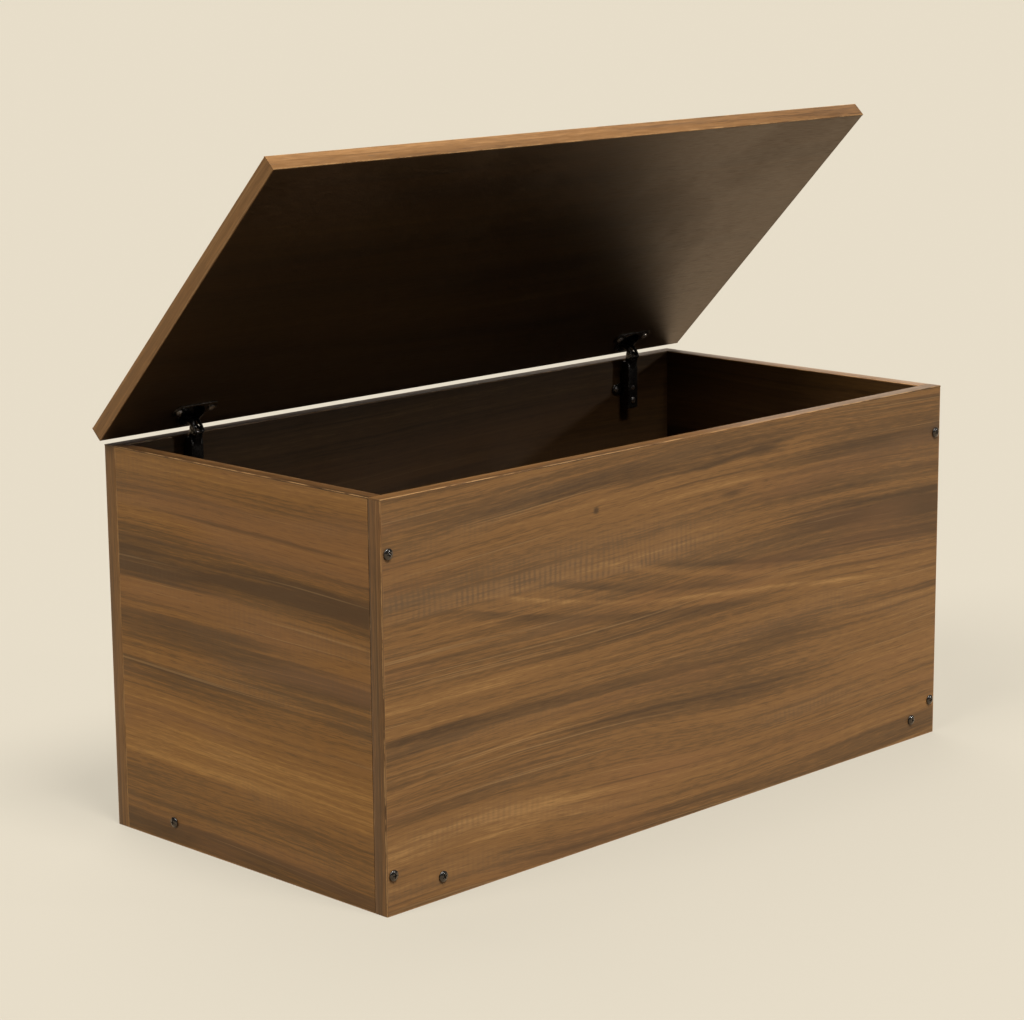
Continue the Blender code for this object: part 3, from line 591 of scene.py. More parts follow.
@dataclass(frozen=True)
class EdgingDecor:
    """Printed plastic edging whose grain runs along each strip. Each strip reads its own part of the pattern."""

    thickness: float
    width: float
    seed: float = 4.3
    ripple: float = 0.15
    strip_spacing: float = 0.37
    gloss: float = 0.4
    rubbed: Colour = paint(160, 124, 80)
    rub_share: float = 0.62
    rub_width: float = 1.6 * MM
    rub_depth: float = 0.3 * MM
    smoother: float = 0.06
    relief: float = 0.05 * MM
    relief_share: float = 0.5

    def material(self, name: str, effects: Effects) -> Material:
        """Build the material, which reads the attributes that the strips' tree stores.

        Args:
            name: The material's name.
            effects: The shared node groups.

        Returns:
            The material.
        """
        sheet = Finish(name)
        run = sheet.stored("run")
        through, across, _ = sheet.parts(sheet.stored("section", "Vector"))
        side = sheet.scaled(sheet.stored("number"), self.strip_spacing, across)
        drawn = effects.decor.use(sheet, {
            "Place": sheet.join(run, side, through), "Tone": sheet.stored("tone"), "Seed": self.seed,
            "Ripple": self.ripple, **dict(zip(SHADES, EDGING_PALETTE))})
        endless = 10.0
        # The strips' outer edges are lightened: partly rub, partly a painted highlight on their rounding.
        rubbed = effects.rub.use(sheet, {
            "Place": sheet.join(run, across, through), "Half": (endless, self.width / 2, self.thickness / 2),
            "Width": self.rub_width})[0]
        rubbed = sheet.times(rubbed, sheet.fade(through, 0.0, self.rub_depth))
        return sheet.wear({
            "Base Color": sheet.stain(drawn["Colour"], rubbed, self.rub_share, self.rubbed),
            "Roughness": sheet.less(drawn["Roughness"], self.smoother),
            "IOR": BOARD_IOR, "Specular IOR Level": self.gloss, "Specular Tint": BOARD_TINT,
            "Normal": sheet.bump(drawn["Height"], self.relief, self.relief_share)})


@dataclass(frozen=True)
class BlackMetal:
    """Blackened steel with a thin gloss, scuffed, and lightened where its edges stick out.

    The lightening is partly worn bare metal and partly a painted highlight. The mottle spreads it between the two
    values of worn_where and pales the steel between those of pale_where, and the scuffs roughen the
    steel between those too.
    """

    colour: Colour = (0.020, 0.018, 0.016, 1.0)
    bright: Colour = (0.45, 0.42, 0.39, 1.0)
    mottled: float = 1.9
    metallic: float = 0.75
    roughness: float = 0.20
    scuffed: float = 0.16
    lacquer: float = 0.5
    lacquer_roughness: float = 0.14
    relief: float = 0.02 * MM
    relief_share: float = 0.35
    rub: float = 0.0
    rub_roughness: float = 0.08
    mottle: Grain = Grain((260, 260, 260), 4.0, 0.6)
    scuff: Grain = Grain((900, 240, 1500), 2.0, 0.6, 3.0)
    worn_where: tuple[float, float] = (0.42, 0.62)
    pale_where: tuple[float, float] = (0.35, 0.7)
    scuff_share: float = 0.3

    def material(self, name: str) -> Material:
        """Build the material, which reads the rub attribute of the pieces that have one.

        Args:
            name: The material's name.

        Returns:
            The material.
        """
        sheet = Finish(name)
        place = sheet.add("ShaderNodeTexCoord").outputs["Object"]
        mottle, scuff = sheet.noise(place, self.mottle), sheet.noise(place, self.scuff)
        # Wear and painted highlight: the rounded edges are mixed towards a bright colour.
        wear_and_highlight = sheet.times(sheet.times(sheet.stored("rub"), sheet.fade(mottle, *self.worn_where)), self.rub)
        paler = tuple(value * self.mottled for value in self.colour[:3]) + (1.0,)
        colour = sheet.mix(sheet.fade(mottle, *self.pale_where), self.colour, paler)
        rough = sheet.fade(scuff, *self.pale_where, self.roughness, self.roughness + self.scuffed, smooth=False)
        return sheet.wear({
            "Base Color": sheet.mix(wear_and_highlight, colour, self.bright),
            "Roughness": sheet.scaled(wear_and_highlight, self.rub_roughness, rough),
            "Metallic": self.metallic, "Coat Weight": self.lacquer, "Coat Roughness": self.lacquer_roughness,
            "Normal": sheet.bump(sheet.scaled(scuff, self.scuff_share, mottle), self.relief, self.relief_share)})


@dataclass(frozen=True)
class FloorCream:
    """Pale cream, paler to the camera than in its bounced light, glowing warm in reflections: painted reflection."""

    cream: Colour = paint(236, 227, 208)
    shade: float = 0.15
    bounce: float = 0.05
    glow: float = 0.52
    gloss_cream: Colour = (1.0, 0.68, 0.39, 1.0)
    gloss_glow: float = 0.70
    roughness: float = 0.9

    def material(self, name: str) -> Material:
        """Build the material.

        Args:
            name: The material's name.

        Returns:
            The material.
        """
        sheet = Finish(name)
        path = sheet.add("ShaderNodeLightPath").outputs
        camera, glossy = path["Is Camera Ray"], path["Is Glossy Ray"]
        shade = sheet.fade(sheet.math("MAXIMUM", camera, glossy), 0.0, 1.0, self.bounce, self.shade, smooth=False)
        # Painted reflection: for glossy rays the floor glows warm; for the camera it glows evenly cream.
        return sheet.wear({
            "Base Color": sheet.vector("MULTIPLY", self.cream[:3], sheet.join(shade, shade, shade)),
            "Roughness": self.roughness, "Specular IOR Level": 0.0,
            "Emission Color": sheet.mix(glossy, self.cream, self.gloss_cream),
            "Emission Strength": sheet.scaled(glossy, self.gloss_glow, sheet.times(camera, self.glow))})


# Pieces


def put_in_scene(name: str, data: bpy.types.ID) -> Object:
    """Put a mesh, a light or a camera in the scene.

    Args:
        name: The object's name.
        data: The mesh, the light or the camera.

    Returns:
        The object.
    """
    made = bpy.data.objects.new(name, data)
    bpy.context.scene.collection.objects.link(made)
    return made


def dress(piece: Object, material: Material) -> None:
    """Put one material on every slot of a piece.

    Args:
        piece: The piece.
        material: Its finish.
    """
    if not piece.material_slots:
        piece.data.materials.append(material)
    for place in piece.material_slots:
        place.material = material


def declare(piece: Object, body: str, nodes: list[str]) -> None:
    """Put a finished piece on the body that it rides on, hide the CAD nodes that it stands for, and log it.

    Args:
        piece: The finished piece.
        body: The CAD body that it moves with.
        nodes: The CAD nodes that it replaces.
    """
    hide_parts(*nodes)
    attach(piece, body)
    LOG.info("%s rides on %s and stands for %d nodes, with %d faces", piece.name, body, len(nodes),
             len(piece.data.polygons))


def closed_box(body: str, name: str, nodes: Nodes) -> Corners:
    """Return the lowest and highest corners of a node, and of a lid node as if the lid were closed.

    Args:
        body: The node's body.
        name: The node's name.
        nodes: The CAD nodes.

    Returns:
        The two corners.
    """
    if body != "lid":
        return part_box(name)
    back = closed_to_rest().inverted()
    points = [back @ vertex.co for vertex in nodes[name].data.vertices]
    return tuple(Vector([pick(point[axis] for point in points) for axis in range(3)]) for pick in (min, max))


def outer_seat(box: Corners, way: Way, depth: float) -> Vector:
    """Return the middle of one side of a box, moved inwards.

    Args:
        box: The box's lowest and highest corners.
        way: The way that the side faces.
        depth: How far the place lies inside it.

    Returns:
        The place.
    """
    low, high = box
    side = [abs(part) for part in way.value].index(1)
    spot = (low + high) / 2
    spot[side] = (high if way.value[side] > 0 else low)[side] - way.value[side] * depth
    return spot


def make_carrier(name: str, points: list[Vector], edges: list[tuple[int, int]],
                 attributes: dict[str, list]) -> Object:
    """Make an object of points and edges for a Geometry Nodes tree to build on.

    Args:
        name: The object's name.
        points: Its points.
        edges: The numbers of each edge's two points.
        attributes: For each attribute, a number or a vector for each point.

    Returns:
        The object.
    """
    mesh = bpy.data.meshes.new(name)
    mesh.from_pydata(points, edges, [])
    for label, values in attributes.items():
        plain = isinstance(values[0], float)
        numbers = values if plain else [part for value in values for part in value]
        attribute = mesh.attributes.new(label, "FLOAT" if plain else "FLOAT_VECTOR", "POINT")
        attribute.data.foreach_set("value" if plain else "vector", numbers)
    return put_in_scene(name, mesh)


def bake_piece(name: str, carrier: Object, body: str, nodes: list[str]) -> None:
    """Turn a carrier with its modifier into a plain piece at the origin, and remove the carrier.

    Args:
        name: The piece's name.
        carrier: The object with the modifier. The lid's is made as if the lid were closed.
        body: The CAD body that the piece moves with.
        nodes: The CAD nodes that it replaces.
    """
    graph = bpy.context.evaluated_depsgraph_get()
    mesh = bpy.data.meshes.new_from_object(carrier.evaluated_get(graph), depsgraph=graph)
    mesh.name = name
    if body == "lid":
        mesh.transform(closed_to_rest())
    carrier.modifiers.clear()
    bpy.data.objects.remove(carrier)
    declare(put_in_scene(name, mesh), body, nodes)


# Geometry Nodes

SCREW_CREASE = 32
STRIP_CREASE = 40

# Shares of a screw head's radius, of its height and of its rim's height
SHOULDER_OUT, SHOULDER_HEIGHT, SHOULDER_RIM = 0.80, 0.45, 0.5
BROW_RIM, BROW_HEIGHT, BROW_SHARE = 0.8, 0.96, 0.2
EDGE_RIM = 0.7
KNEE_OUT = 0.97
CROWN_OUT = 0.5

# The length of a shank's point for each unit of its radius, and shares of the recess's depth and width
POINT_LENGTH = 2.0
CUTTER_HEIGHT = 1.5
RECESS_FLOOR = 0.62


class Tree(Block):
    """A Geometry Nodes tree that builds pieces on seats."""

    TREE = "GeometryNodeTree"
    KINDS = {"Seats": Kind.SHAPE, "Pieces": Kind.SHAPE, "Material": Kind.MATERIAL, "Sides": Kind.COUNT,
             "Seed": Kind.COUNT, "Steps": Kind.COUNT}

    def geo(self, kind: str, inputs: dict | None = None, **settings: object) -> Socket:
        """Add a node of a Geometry Nodes type and return its first output."""
        return self.out("GeometryNode" + kind, inputs, **settings)

    def above(self, value: Socket, limit: float) -> Socket:
        """Return whether a value is above a limit."""
        return self.out("FunctionNodeCompare", {"A": value, "B": limit}, data_type="FLOAT", operation="GREATER_THAN")

    def finish(self, geometry: Socket) -> None:
        """Realise the pieces, give them the material and put them out."""
        real = self.geo("RealizeInstances", {0: geometry})
        self.put("Pieces", self.geo("SetMaterial", {"Geometry": real, "Material": self.given["Material"]}))

    def facing(self) -> Socket:
        """Return the way that a seat faces."""
        return self.geo("InputNamedAttribute", {"Name": "facing"}, data_type="FLOAT_VECTOR")

    def store(self, geometry: Socket, name: str, value: Socket, kind: str) -> Socket:
        """Store an attribute on the points and return the geometry."""
        values = {"Geometry": geometry, "Name": name, "Value": value}
        return self.geo("StoreNamedAttribute", values, data_type=kind, domain="POINT")

    def crease(self, geometry: Socket, degrees: float) -> Socket:
        """Shade smooth, but keep edges sharp where faces meet at more than an angle.

        Args:
            geometry: What to shade.
            degrees: The angle.

        Returns:
            The shaded geometry.
        """
        angle = self.add("GeometryNodeInputMeshEdgeAngle").outputs["Unsigned Angle"]
        sharp = self.above(angle, math.radians(degrees))
        faces = self.geo("SetShadeSmooth", {"Geometry": geometry, "Shade Smooth": True}, domain="FACE")
        return self.geo("SetShadeSmooth", {"Geometry": faces, "Selection": sharp, "Shade Smooth": False},
                        domain="EDGE")

    def fit(self, carrier: Object, sizes: object, values: dict[str, object]) -> None:
        """Put the tree on an object and set its inputs by their identifiers.

        Args:
            carrier: The object that has the seats.
            sizes: What holds the inputs' values, in fields of their names.
            values: The values of the inputs that it has no field for.
        """
        modifier = carrier.modifiers.new(self.tree.name, "NODES")
        modifier.node_group = self.tree
        for item in self.tree.interface.items_tree:
            if item.in_out == "INPUT" and item.name != "Seats":
                field = item.name.lower().replace(" ", "_")
                modifier[item.identifier] = values.get(item.name, getattr(sizes, field, None))


def screw_body(tree: Tree) -> Socket:
    """Build the turned body of the screws: a domed head with a rim over a shank with a pointed end.

    Args:
        tree: The screws' tree.

    Returns:
        The body, with the underside of its head at the origin.
    """
    given = tree.given
    radius, height, shank = given["Head Radius"], given["Head Height"], given["Shank Radius"]
    tip = tree.times(given["Shank Length"], -1.0)
    rail_radius = tree.times(radius, 2.0)

    def point(out: object, up: object) -> Socket:
        """Return a profile point from its distance to the axis and its height."""
        return tree.join(tree.less(out, rail_radius), tree.times(up, -1.0), 0.0)

    rim = tree.times(height, given["Rim Share"])
    shoulder = point(tree.times(radius, SHOULDER_OUT),
                     tree.scaled(height, SHOULDER_HEIGHT, tree.times(rim, SHOULDER_RIM)))
    brow = point(radius, tree.scaled(rim, BROW_RIM, tree.times(tree.times(height, BROW_HEIGHT), BROW_SHARE)))
    edge = point(radius, tree.times(rim, EDGE_RIM))
    knee = point(tree.times(radius, KNEE_OUT), 0.0)
    crown = point(tree.times(radius, CROWN_OUT), height)
    corners = [point(0.0, tip), point(shank, tree.scaled(shank, POINT_LENGTH, tip)), point(shank, 0.0), knee, edge]
    lines = [tree.geo("CurvePrimitiveLine", {"Start": start, "End": end})
             for end, start in zip(corners, corners[1:])]
    lines.append(tree.geo("CurveQuadraticBezier", {"Resolution": 4, "Start": shoulder, "Middle": brow, "End": edge}))
    lines.append(tree.geo("CurveQuadraticBezier", {
        "Resolution": 5, "Start": point(0.0, height), "Middle": crown, "End": shoulder}))
    profile = tree.geo("JoinGeometry", {0: lines})
    circle = tree.geo("CurvePrimitiveCircle", {"Resolution": given["Sides"], "Radius": rail_radius})
    rail = tree.geo("SetCurveNormal", {"Curve": circle}, mode="Z_UP")
    turned = tree.geo("CurveToMesh", {"Curve": rail, "Profile Curve": profile})
    return tree.geo("MergeByDistance", {"Geometry": turned, "Distance": 0.01 * MM})


def cross_cutter(tree: Tree) -> Socket:
    """Build the cross that is cut out of the screws' heads, narrower at its floor.

    Args:
        tree: The screws' tree.

    Returns:
        The cross.
    """
    given = tree.given
    height, depth, reach, width = (given[name] for name in (
        "Head Height", "Recess Depth", "Recess Reach", "Recess Width"))
    floor = tree.less(height, depth)
    tall = tree.times(depth, CUTTER_HEIGHT)
    bars = [tree.geo("MeshCube", {"Size": tree.join(tree.times(wide, 2.0), tree.times(deep, 2.0), tall)})
            for wide, deep in ((reach, width), (width, reach))]
    raised = tree.geo("Transform", {"Geometry": tree.geo("JoinGeometry", {0: bars}),
                                    "Translation": tree.join(0.0, 0.0, tree.scaled(depth, CUTTER_HEIGHT / 2, floor))})
    spot = tree.geo("InputPosition")
    narrow = tree.fade(tree.parts(spot)[2], floor, height, RECESS_FLOOR, 1.0, smooth=False)
    return tree.geo("SetPosition", {
        "Geometry": raised, "Position": tree.vector("MULTIPLY", spot, tree.join(narrow, narrow, 1.0))})


def make_screw_tree() -> Tree:
    """Make the tree that puts a cross-recess pan-head screw on every seat, facing as the seat says.

    Returns:
        The tree.
    """
    tree = Tree("cross_recess_screws", "Seats, Head Radius, Head Height, Rim Share, Shank Radius, Shank Length, "
                "Recess Reach, Recess Width, Recess Depth, Sides, Seed, Material", "Pieces")
    recessed = tree.geo("MeshBoolean", {"Mesh 1": screw_body(tree), "Mesh 2": cross_cutter(tree),
                                        "Self Intersection": True}, operation="DIFFERENCE", solver="EXACT")
    aligned = tree.out("FunctionNodeAlignRotationToVector", {"Vector": tree.facing()}, axis="Z")
    chance = tree.add("FunctionNodeRandomValue", {"Seed": tree.given["Seed"]}, data_type="FLOAT")
    most = next(socket for socket in chance.inputs if socket.name == "Max" and socket.type == "VALUE")
    most.default_value = math.tau
    angle = next(socket for socket in chance.outputs if socket.type == "VALUE")
    spin = tree.out("FunctionNodeAxisAngleToRotation", {"Axis": (0.0, 0.0, 1.0), "Angle": angle})
    rotation = tree.out("FunctionNodeRotateRotation", {0: aligned, 1: spin}, rotation_space="LOCAL")
    tree.finish(tree.geo("InstanceOnPoints", {
        "Points": tree.given["Seats"], "Instance": tree.crease(recessed, SCREW_CREASE), "Rotation": rotation}))
    return tree


def make_strip_tree() -> Tree:
    """Make the tree that lays a rounded edging strip along every edge, facing as the edge says.

    Returns:
        The tree.
    """
    tree = Tree("edging_strips", "Seats, Width, Thickness, Rounding, Glue Line, Steps, Material", "Pieces")
    given = tree.given
    rails = tree.geo("MeshToCurve", {"Mesh": given["Seats"]})
    rails = tree.geo("SetCurveNormal", {"Curve": rails, "Normal": tree.facing()}, mode="FREE")
    rails = tree.store(rails, "run", tree.add("GeometryNodeSplineParameter").outputs["Length"], "FLOAT")
    frame = tree.geo("CurvePrimitiveQuadrilateral", {"Width": given["Thickness"], "Height": given["Width"]},
                     mode="RECTANGLE")
    spot = tree.geo("InputPosition")
    outer = tree.above(tree.parts(spot)[0], 0.0)
    radius = tree.geo("Switch", {"Switch": outer, "False": given["Glue Line"], "True": given["Rounding"]},
                      input_type="FLOAT")
    rounded = tree.geo("FilletCurve", {"Curve": frame, "Count": given["Steps"], "Radius": radius,
                                       "Limit Radius": True}, mode="POLY")
    profile = tree.store(rounded, "section", spot, "FLOAT_VECTOR")
    swept = tree.geo("CurveToMesh", {"Curve": rails, "Profile Curve": profile, "Fill Caps": True})
    tree.finish(tree.crease(swept, STRIP_CREASE))
    return tree


# Sub-assemblies


def bands(*rows: tuple[float, ...]) -> tuple[Band, ...]:
    """Return bands from rows of their fields, which are given in thousandths."""
    return tuple(Band(*(value / 1000 for value in row)) for row in rows)


FRONT_BANDS = bands(
    (-30, 5, -30, 7, 26, -500, 220, -340),
    (82, 10, 0, 13, 30, 200, 1000, -400),
    (52, -10, 20, 2, 5, 160, 1000, -300),
    (34, -150, 170, 3, 7, -280, 360, 260),
    (45, -170, 170, 10, 4, -260, 100, -220),
    (20, -140, 150, 4, 14, -360, 100, -260),
    (62, -230, 200, 6, 6, -120, 160, 180),
    (70, -200, 200, 8, 3, -40, 240, -260),
    (-83, 10, 0, 6, 18, -200, 240, -240),
    (-52, 90, 0, 3, 5, -500, -160, 200),
    (-187, 5, 0, 8, 45, -260, 1000, -300),
    (167, 80, 0, 4, 7, 40, 140, -600),
    (169, 30, 0, 6, 10, 105, 145, -500, 30),
    (130, 0, 0, 100, 110, 140, 1000, -200, 140),
    (181, 0, 0, 12, 9, -340, 140, -360, 100),
    (172, 0, 0, 9, 9, -100, 70, -360, 60),
    (-160, 0, 0, 36, 34, -600, -160, 380, 160),
    (0, 0, 0, 40, 40, 320, 1000, -160, 80),
    (165, 0, 0, 30, 40, 260, 1000, -200, 100),
    (75, 0, 0, 40, 40, -600, 100, -120, 100),
    (-80, 0, 0, 30, 30, 160, 1000, 160),
    (153.5, 0, 0, 5, 5, -147, -143, -900, 4),
    (137, -60, 0, 4, 8, 60, 90, -420, 20),
    (140, 0, 0, 50, 50, -600, 0, 50),
    (0, 0, 0, 12, 20, -600, -100, 140),
    (-105, 0, 0, 12, 20, 20, 600, 120),
)
FRONT_BELTS = bands(
    (84, -40, 0, 58, 13, -500, 30, 1300),
    (-140, 30, 0, 24, 28, -440, -240, 600),
    (-120, 0, 0, 20, 20, 100, 280, 600),
)
END_BANDS = bands(
    (106, 0, 0, 12, 36, -1000, 1000, -360),
    (88, 0, 0, 10, 16, 100, 300, -100),
    (85, 0, 0, 16, 22, -500, -60, -220),
    (2, 0, 0, 24, 26, 0, 500, -280),
    (22, -25, 0, 6, 24, -1000, 1000, -280),
    (-24, 0, 0, 18, 30, -1000, 1000, -280),
    (-191, 0, 0, 7, 45, -1000, 1000, -360),
    (-147, 10, 0, 5, 12, 40, 260, -220),
    (150, 0, 0, 30, 30, -1000, 1000, 140),
    (-110, 0, 0, 20, 20, -1000, 1000, 80),
)
BACK_BANDS = bands(
    (110, 30, 50, 8, 30, -500, 100, -320),
    (-20, -40, 100, 10, 26, -200, 600, -300),
    (-120, 20, -40, 6, 22, -600, 300, -280),
    (50, -60, 120, 4, 10, -400, 400, 200),
)
FLAT_BANDS = bands(
    (120, 40, -80, 8, 28, -550, 200, -320),
    (20, -50, 60, 12, 30, -100, 600, -300),
    (-60, 20, 90, 6, 20, -600, 300, -260),
    (-150, 10, -30, 10, 30, -300, 600, -300),
    (70, -60, 120, 4, 10, -400, 400, 200),
)


@dataclass
class Boards:
    """The six faced boards, which keep their CAD solids. Each half is half a board's length and width."""

    effects: Effects
    nodes: Nodes
    board: float = 18 * MM
    wall_middle: Span = (0.441, 0.2085, 0.2125)
    wall_half: tuple[float, float] = (0.4485, 0.21175)
    end_half: tuple[float, float] = (0.1992, 0.21175)
    bottom_middle: Span = (0.0, 0.0, 0.024)
    bottom_half: tuple[float, float] = (0.4317, 0.1992)
    closed_lid_middle: Span = (0.0, 0.004, 0.4356)
    lid_half: tuple[float, float] = (0.4605, 0.211)

    def decors(self) -> dict[str, WalnutDecor]:
        """Draw up the boards' decors.

        Returns:
            For each board, a decor with its grain along the board's length and a figure of its own.
        """
        quarter, thick = math.pi / 2, (self.board / 2,)
        x, y, z = self.wall_middle
        wall = {"half": self.wall_half + thick, "turn": (-quarter, 0.0, 0.0), "ripple": 0.4, "tone": -0.05,
                "palette": FRONT_PALETTE}
        end = {"half": self.end_half + thick, "turn": (-quarter, quarter, 0.0), "ripple": 0.4, "tone": -0.04,
               "palette": END_LESS_SHEEN_PALETTE, "bands": END_BANDS}
        lid_middle = tuple(closed_to_rest() @ Vector(self.closed_lid_middle))
        # Each board's inner face gets painted shade, with its own share where one is given.
        return {
            "front_panel": WalnutDecor((0.0, -y, z), seed=2.0, inner=-1, bands=FRONT_BANDS, belts=FRONT_BELTS,
                                       **wall),
            "back_panel": WalnutDecor((0.0, y, z), seed=7.4, inner_shade=0.28, bands=BACK_BANDS, **wall),
            "left_end_panel": WalnutDecor((-x, 0.0, z), seed=12.6, inner=-1, **end),
            "right_end_panel": WalnutDecor((x, 0.0, z), seed=19.1, inner_shade=0.30, **end),
            "bottom_panel": WalnutDecor(self.bottom_middle, self.bottom_half + thick, seed=23.7, bands=FLAT_BANDS),
            "lid_panel": WalnutDecor(lid_middle, self.lid_half + thick, (REST_OPENING, 0.0, 0.0), 31.2, gloss=0.68,
                                     tint=(1.0, 0.80, 0.60, 1.0), inner=-1, inner_shade=0.13, bands=FLAT_BANDS),
        }

    def build(self) -> None:
        """Dress the boards."""
        for node, decor in self.decors().items():
            dress(self.nodes[node], decor.material(node + "_walnut", self.effects))
            LOG.info("%s keeps its solid and wears a decor of its own", node)


@dataclass
class Edging:
    """The edging strips of the chest and of the lid, with the way each of them faces and its tone."""

    effects: Effects
    nodes: Nodes
    thickness: float = 1.5 * MM
    width: float = 18 * MM
    rounding: float = 0.9 * MM
    glue_line: float = 0.12 * MM
    steps: int = 4
    tuck: float = 0.3 * MM

    # Each strip has a tone of its own; the top strips' lower tones are also painted shade, dimming the light from
    # overhead.
    STRIPS = {
        "chest": {
            "front_edging_top": (Way.UP, -0.16), "front_edging_left": (Way.LEFT, -0.06),
            "front_edging_right": (Way.RIGHT, 0.08), "back_edging_top": (Way.UP, -0.16),
            "back_edging_left": (Way.LEFT, 0.0), "back_edging_right": (Way.RIGHT, 0.08),
            "left_end_edging_top": (Way.UP, -0.22), "right_end_edging_top": (Way.UP, -0.10),
        },
        "lid": {
            "lid_edging_front": (Way.FORWARDS, 0.07), "lid_edging_rear": (Way.BACKWARDS, 0.0),
            "lid_edging_left": (Way.LEFT, 0.10), "lid_edging_right": (Way.RIGHT, 0.0),
        },
    }

    def rails(self, body: str) -> Object:
        """Make the object whose edges are the middle lines of a body's strips.

        Args:
            body: The body. The strips of the chest's ends are tucked a little into the long ones.

        Returns:
            The carrier of the strips' tree.
        """
        rows = []
        for number, (node, (way, tone)) in enumerate(self.STRIPS[body].items()):
            box = closed_box(body, node, self.nodes)
            axis = max(range(3), key=lambda index: box[1][index] - box[0][index])
            tuck = self.tuck if "_end_" in node else 0.0
            for corner, sign in zip(box, (-1, 1)):
                spot = outer_seat(box, way, self.thickness / 2)
                spot[axis] = corner[axis] + sign * tuck
                rows.append((spot, way.value, float(number), tone))
        points, *values = zip(*rows)
        edges = [(start, start + 1) for start in range(0, len(rows), 2)]
        return make_carrier(body + "_edging_rails", points, edges, dict(zip(("facing", "number", "tone"), values)))

    def build(self) -> None:
        """Make the chest's strips and the lid's strips, one piece for each body."""
        tree = make_strip_tree()
        material = EdgingDecor(self.thickness, self.width).material("walnut_edging_strip", self.effects)
        for body, strips in self.STRIPS.items():
            carrier = self.rails(body)
            tree.fit(carrier, self, {"Material": material})
            bake_piece(body + "_edging", carrier, body, list(strips))


@dataclass
class ScrewSet:
    """A set of like screws on one body, and the way each of them faces.

    The recess reaches over a share of the head's radius, its arms are a share of it wide, and its depth is a
    share of the head's height.
    """

    name: str
    body: str
    slot: Slot
    facings: dict[str, Way]
    head_radius: float = 5.8 * MM
    head_height: float = 3.0 * MM
    rim_share: float = 0.42
    shank_radius: float = 2.3 * MM
    shank_length: float = 45 * MM
    reach_share: float = 0.60
    width_share: float = 0.13
    depth_share: float = 0.55
    sides: int = 32
    seed: int = 3

    def build(self, tree: Tree, material: Material, nodes: Nodes) -> None:
        """Make the screws as one piece.

        Args:
            tree: The screws' tree.
            material: Their finish.
            nodes: The CAD nodes.
        """
        seats = [outer_seat(closed_box(self.body, node, nodes), way, self.head_height)
                 for node, way in self.facings.items()]
        facings = [way.value for way in self.facings.values()]
        carrier = make_carrier(self.name + "_seats", seats, [], {"facing": facings})
        tree.fit(carrier, self, {
            "Recess Reach": self.reach_share * self.head_radius, "Recess Width": self.width_share * self.head_radius,
            "Recess Depth": self.depth_share * self.head_height, "Material": material})
        bake_piece(self.name, carrier, self.body, list(self.facings))


def screw_sets() -> list[ScrewSet]:
    """Draw up the ottoman's screws.

    Returns:
        Every set of like screws.
    """
    walls = (("front", Way.FORWARDS), ("back", Way.BACKWARDS))
    assembly = {f"{wall}_panel_screw_{number}": way for wall, way in walls for number in range(1, 7)}
    assembly |= {"left_end_screw": Way.LEFT, "right_end_screw": Way.RIGHT}
    pairs = [(side, number) for side in SIDES for number in (1, 2)]
    small = {"head_radius": 3.7 * MM, "head_height": 1.7 * MM, "shank_radius": 1.7 * MM}
    return [
        ScrewSet("assembly_screws", "chest", Slot.SCREW, assembly, seed=5),
        ScrewSet("mounting_plate_screws", "chest", Slot.HINGE,
                 {f"{side}_plate_screw_{number}": Way.FORWARDS for side, number in pairs},
                 shank_length=16 * MM, seed=7, **small),
        ScrewSet("arm_fixing_screws", "chest", Slot.HINGE, {f"{side}_fixing_screw": Way.FORWARDS for side in SIDES},
                 shank_length=9 * MM, seed=9, **small),
        ScrewSet("arm_side_screws", "chest", Slot.HINGE, {f"{side}_side_screw": Way.FORWARDS for side in SIDES},
                 head_radius=2.8 * MM, head_height=0.6 * MM, rim_share=0.8, shank_radius=2.6 * MM,
                 shank_length=8.5 * MM, depth_share=2.2, seed=11),
        ScrewSet("cup_screws", "lid", Slot.HINGE,
                 {f"{side}_cup_screw_{number}": Way.DOWN for side, number in pairs},
                 shank_length=12 * MM, seed=13, **small),
    ]


@dataclass
class Hinges:
    """The pressed and cast parts of the two cup hinges, as rounded copies of their CAD solids."""

    nodes: Nodes
    rounding: float = 0.22 * MM
    segments: int = 2
    merged: float = 0.002 * MM
    flat_angle: float = math.radians(0.6)
    rounded_angle: float = math.radians(32)
    smooth_angle: float = math.radians(38)

    PARTS = {
        "hinge_cup": "lid", "cup_pin": "lid", "hinge_arm": "chest", "arm_pin": "chest", "mounting_plate": "chest",
        "outer_lever": None, "inner_lever": None,
    }

    def rounded(self, name: str, node: Object) -> Object:
        """Make a copy of a solid with rounded edges, and mark the rounded faces for rub and a painted highlight.

        Args:
            name: The copy's name.
            node: The CAD node.

        Returns:
            The copy.
        """
        form = bmesh.new()
        form.from_mesh(node.data)
        bmesh.ops.remove_doubles(form, verts=form.verts, dist=self.merged)
        bmesh.ops.dissolve_limit(form, angle_limit=self.flat_angle, verts=form.verts, edges=form.edges)
        sharp = [edge for edge in form.edges
                 if edge.is_manifold and edge.calc_face_angle() > self.rounded_angle and edge.is_convex]
        rub = form.faces.layers.float.new("rub")
        made = bmesh.ops.bevel(form, geom=sharp, offset=self.rounding, segments=self.segments, profile=0.5,
                               affect="EDGES", clamp_overlap=True)
        for face in made["faces"]:
            face[rub] = 1.0
        for face in form.faces:
            face.smooth = True
        for edge in form.edges:
            edge.smooth = not (edge.is_manifold and edge.calc_face_angle() > self.smooth_angle)
        mesh = bpy.data.meshes.new(name)
        form.to_mesh(mesh)
        form.free()
        return put_in_scene(name, mesh)

    def build(self) -> None:
        """Make the parts of both hinges. A lever is a body of its own."""
        metal = BlackMetal(rub=0.85).material("black_hinge_metal")
        for side in SIDES:
            for part, body in self.PARTS.items():
                node = f"{side}_{part}"
                piece = self.rounded(node + "_finished", self.nodes[node])
                dress(piece, metal)
                declare(piece, body or node, [node])


# Studio


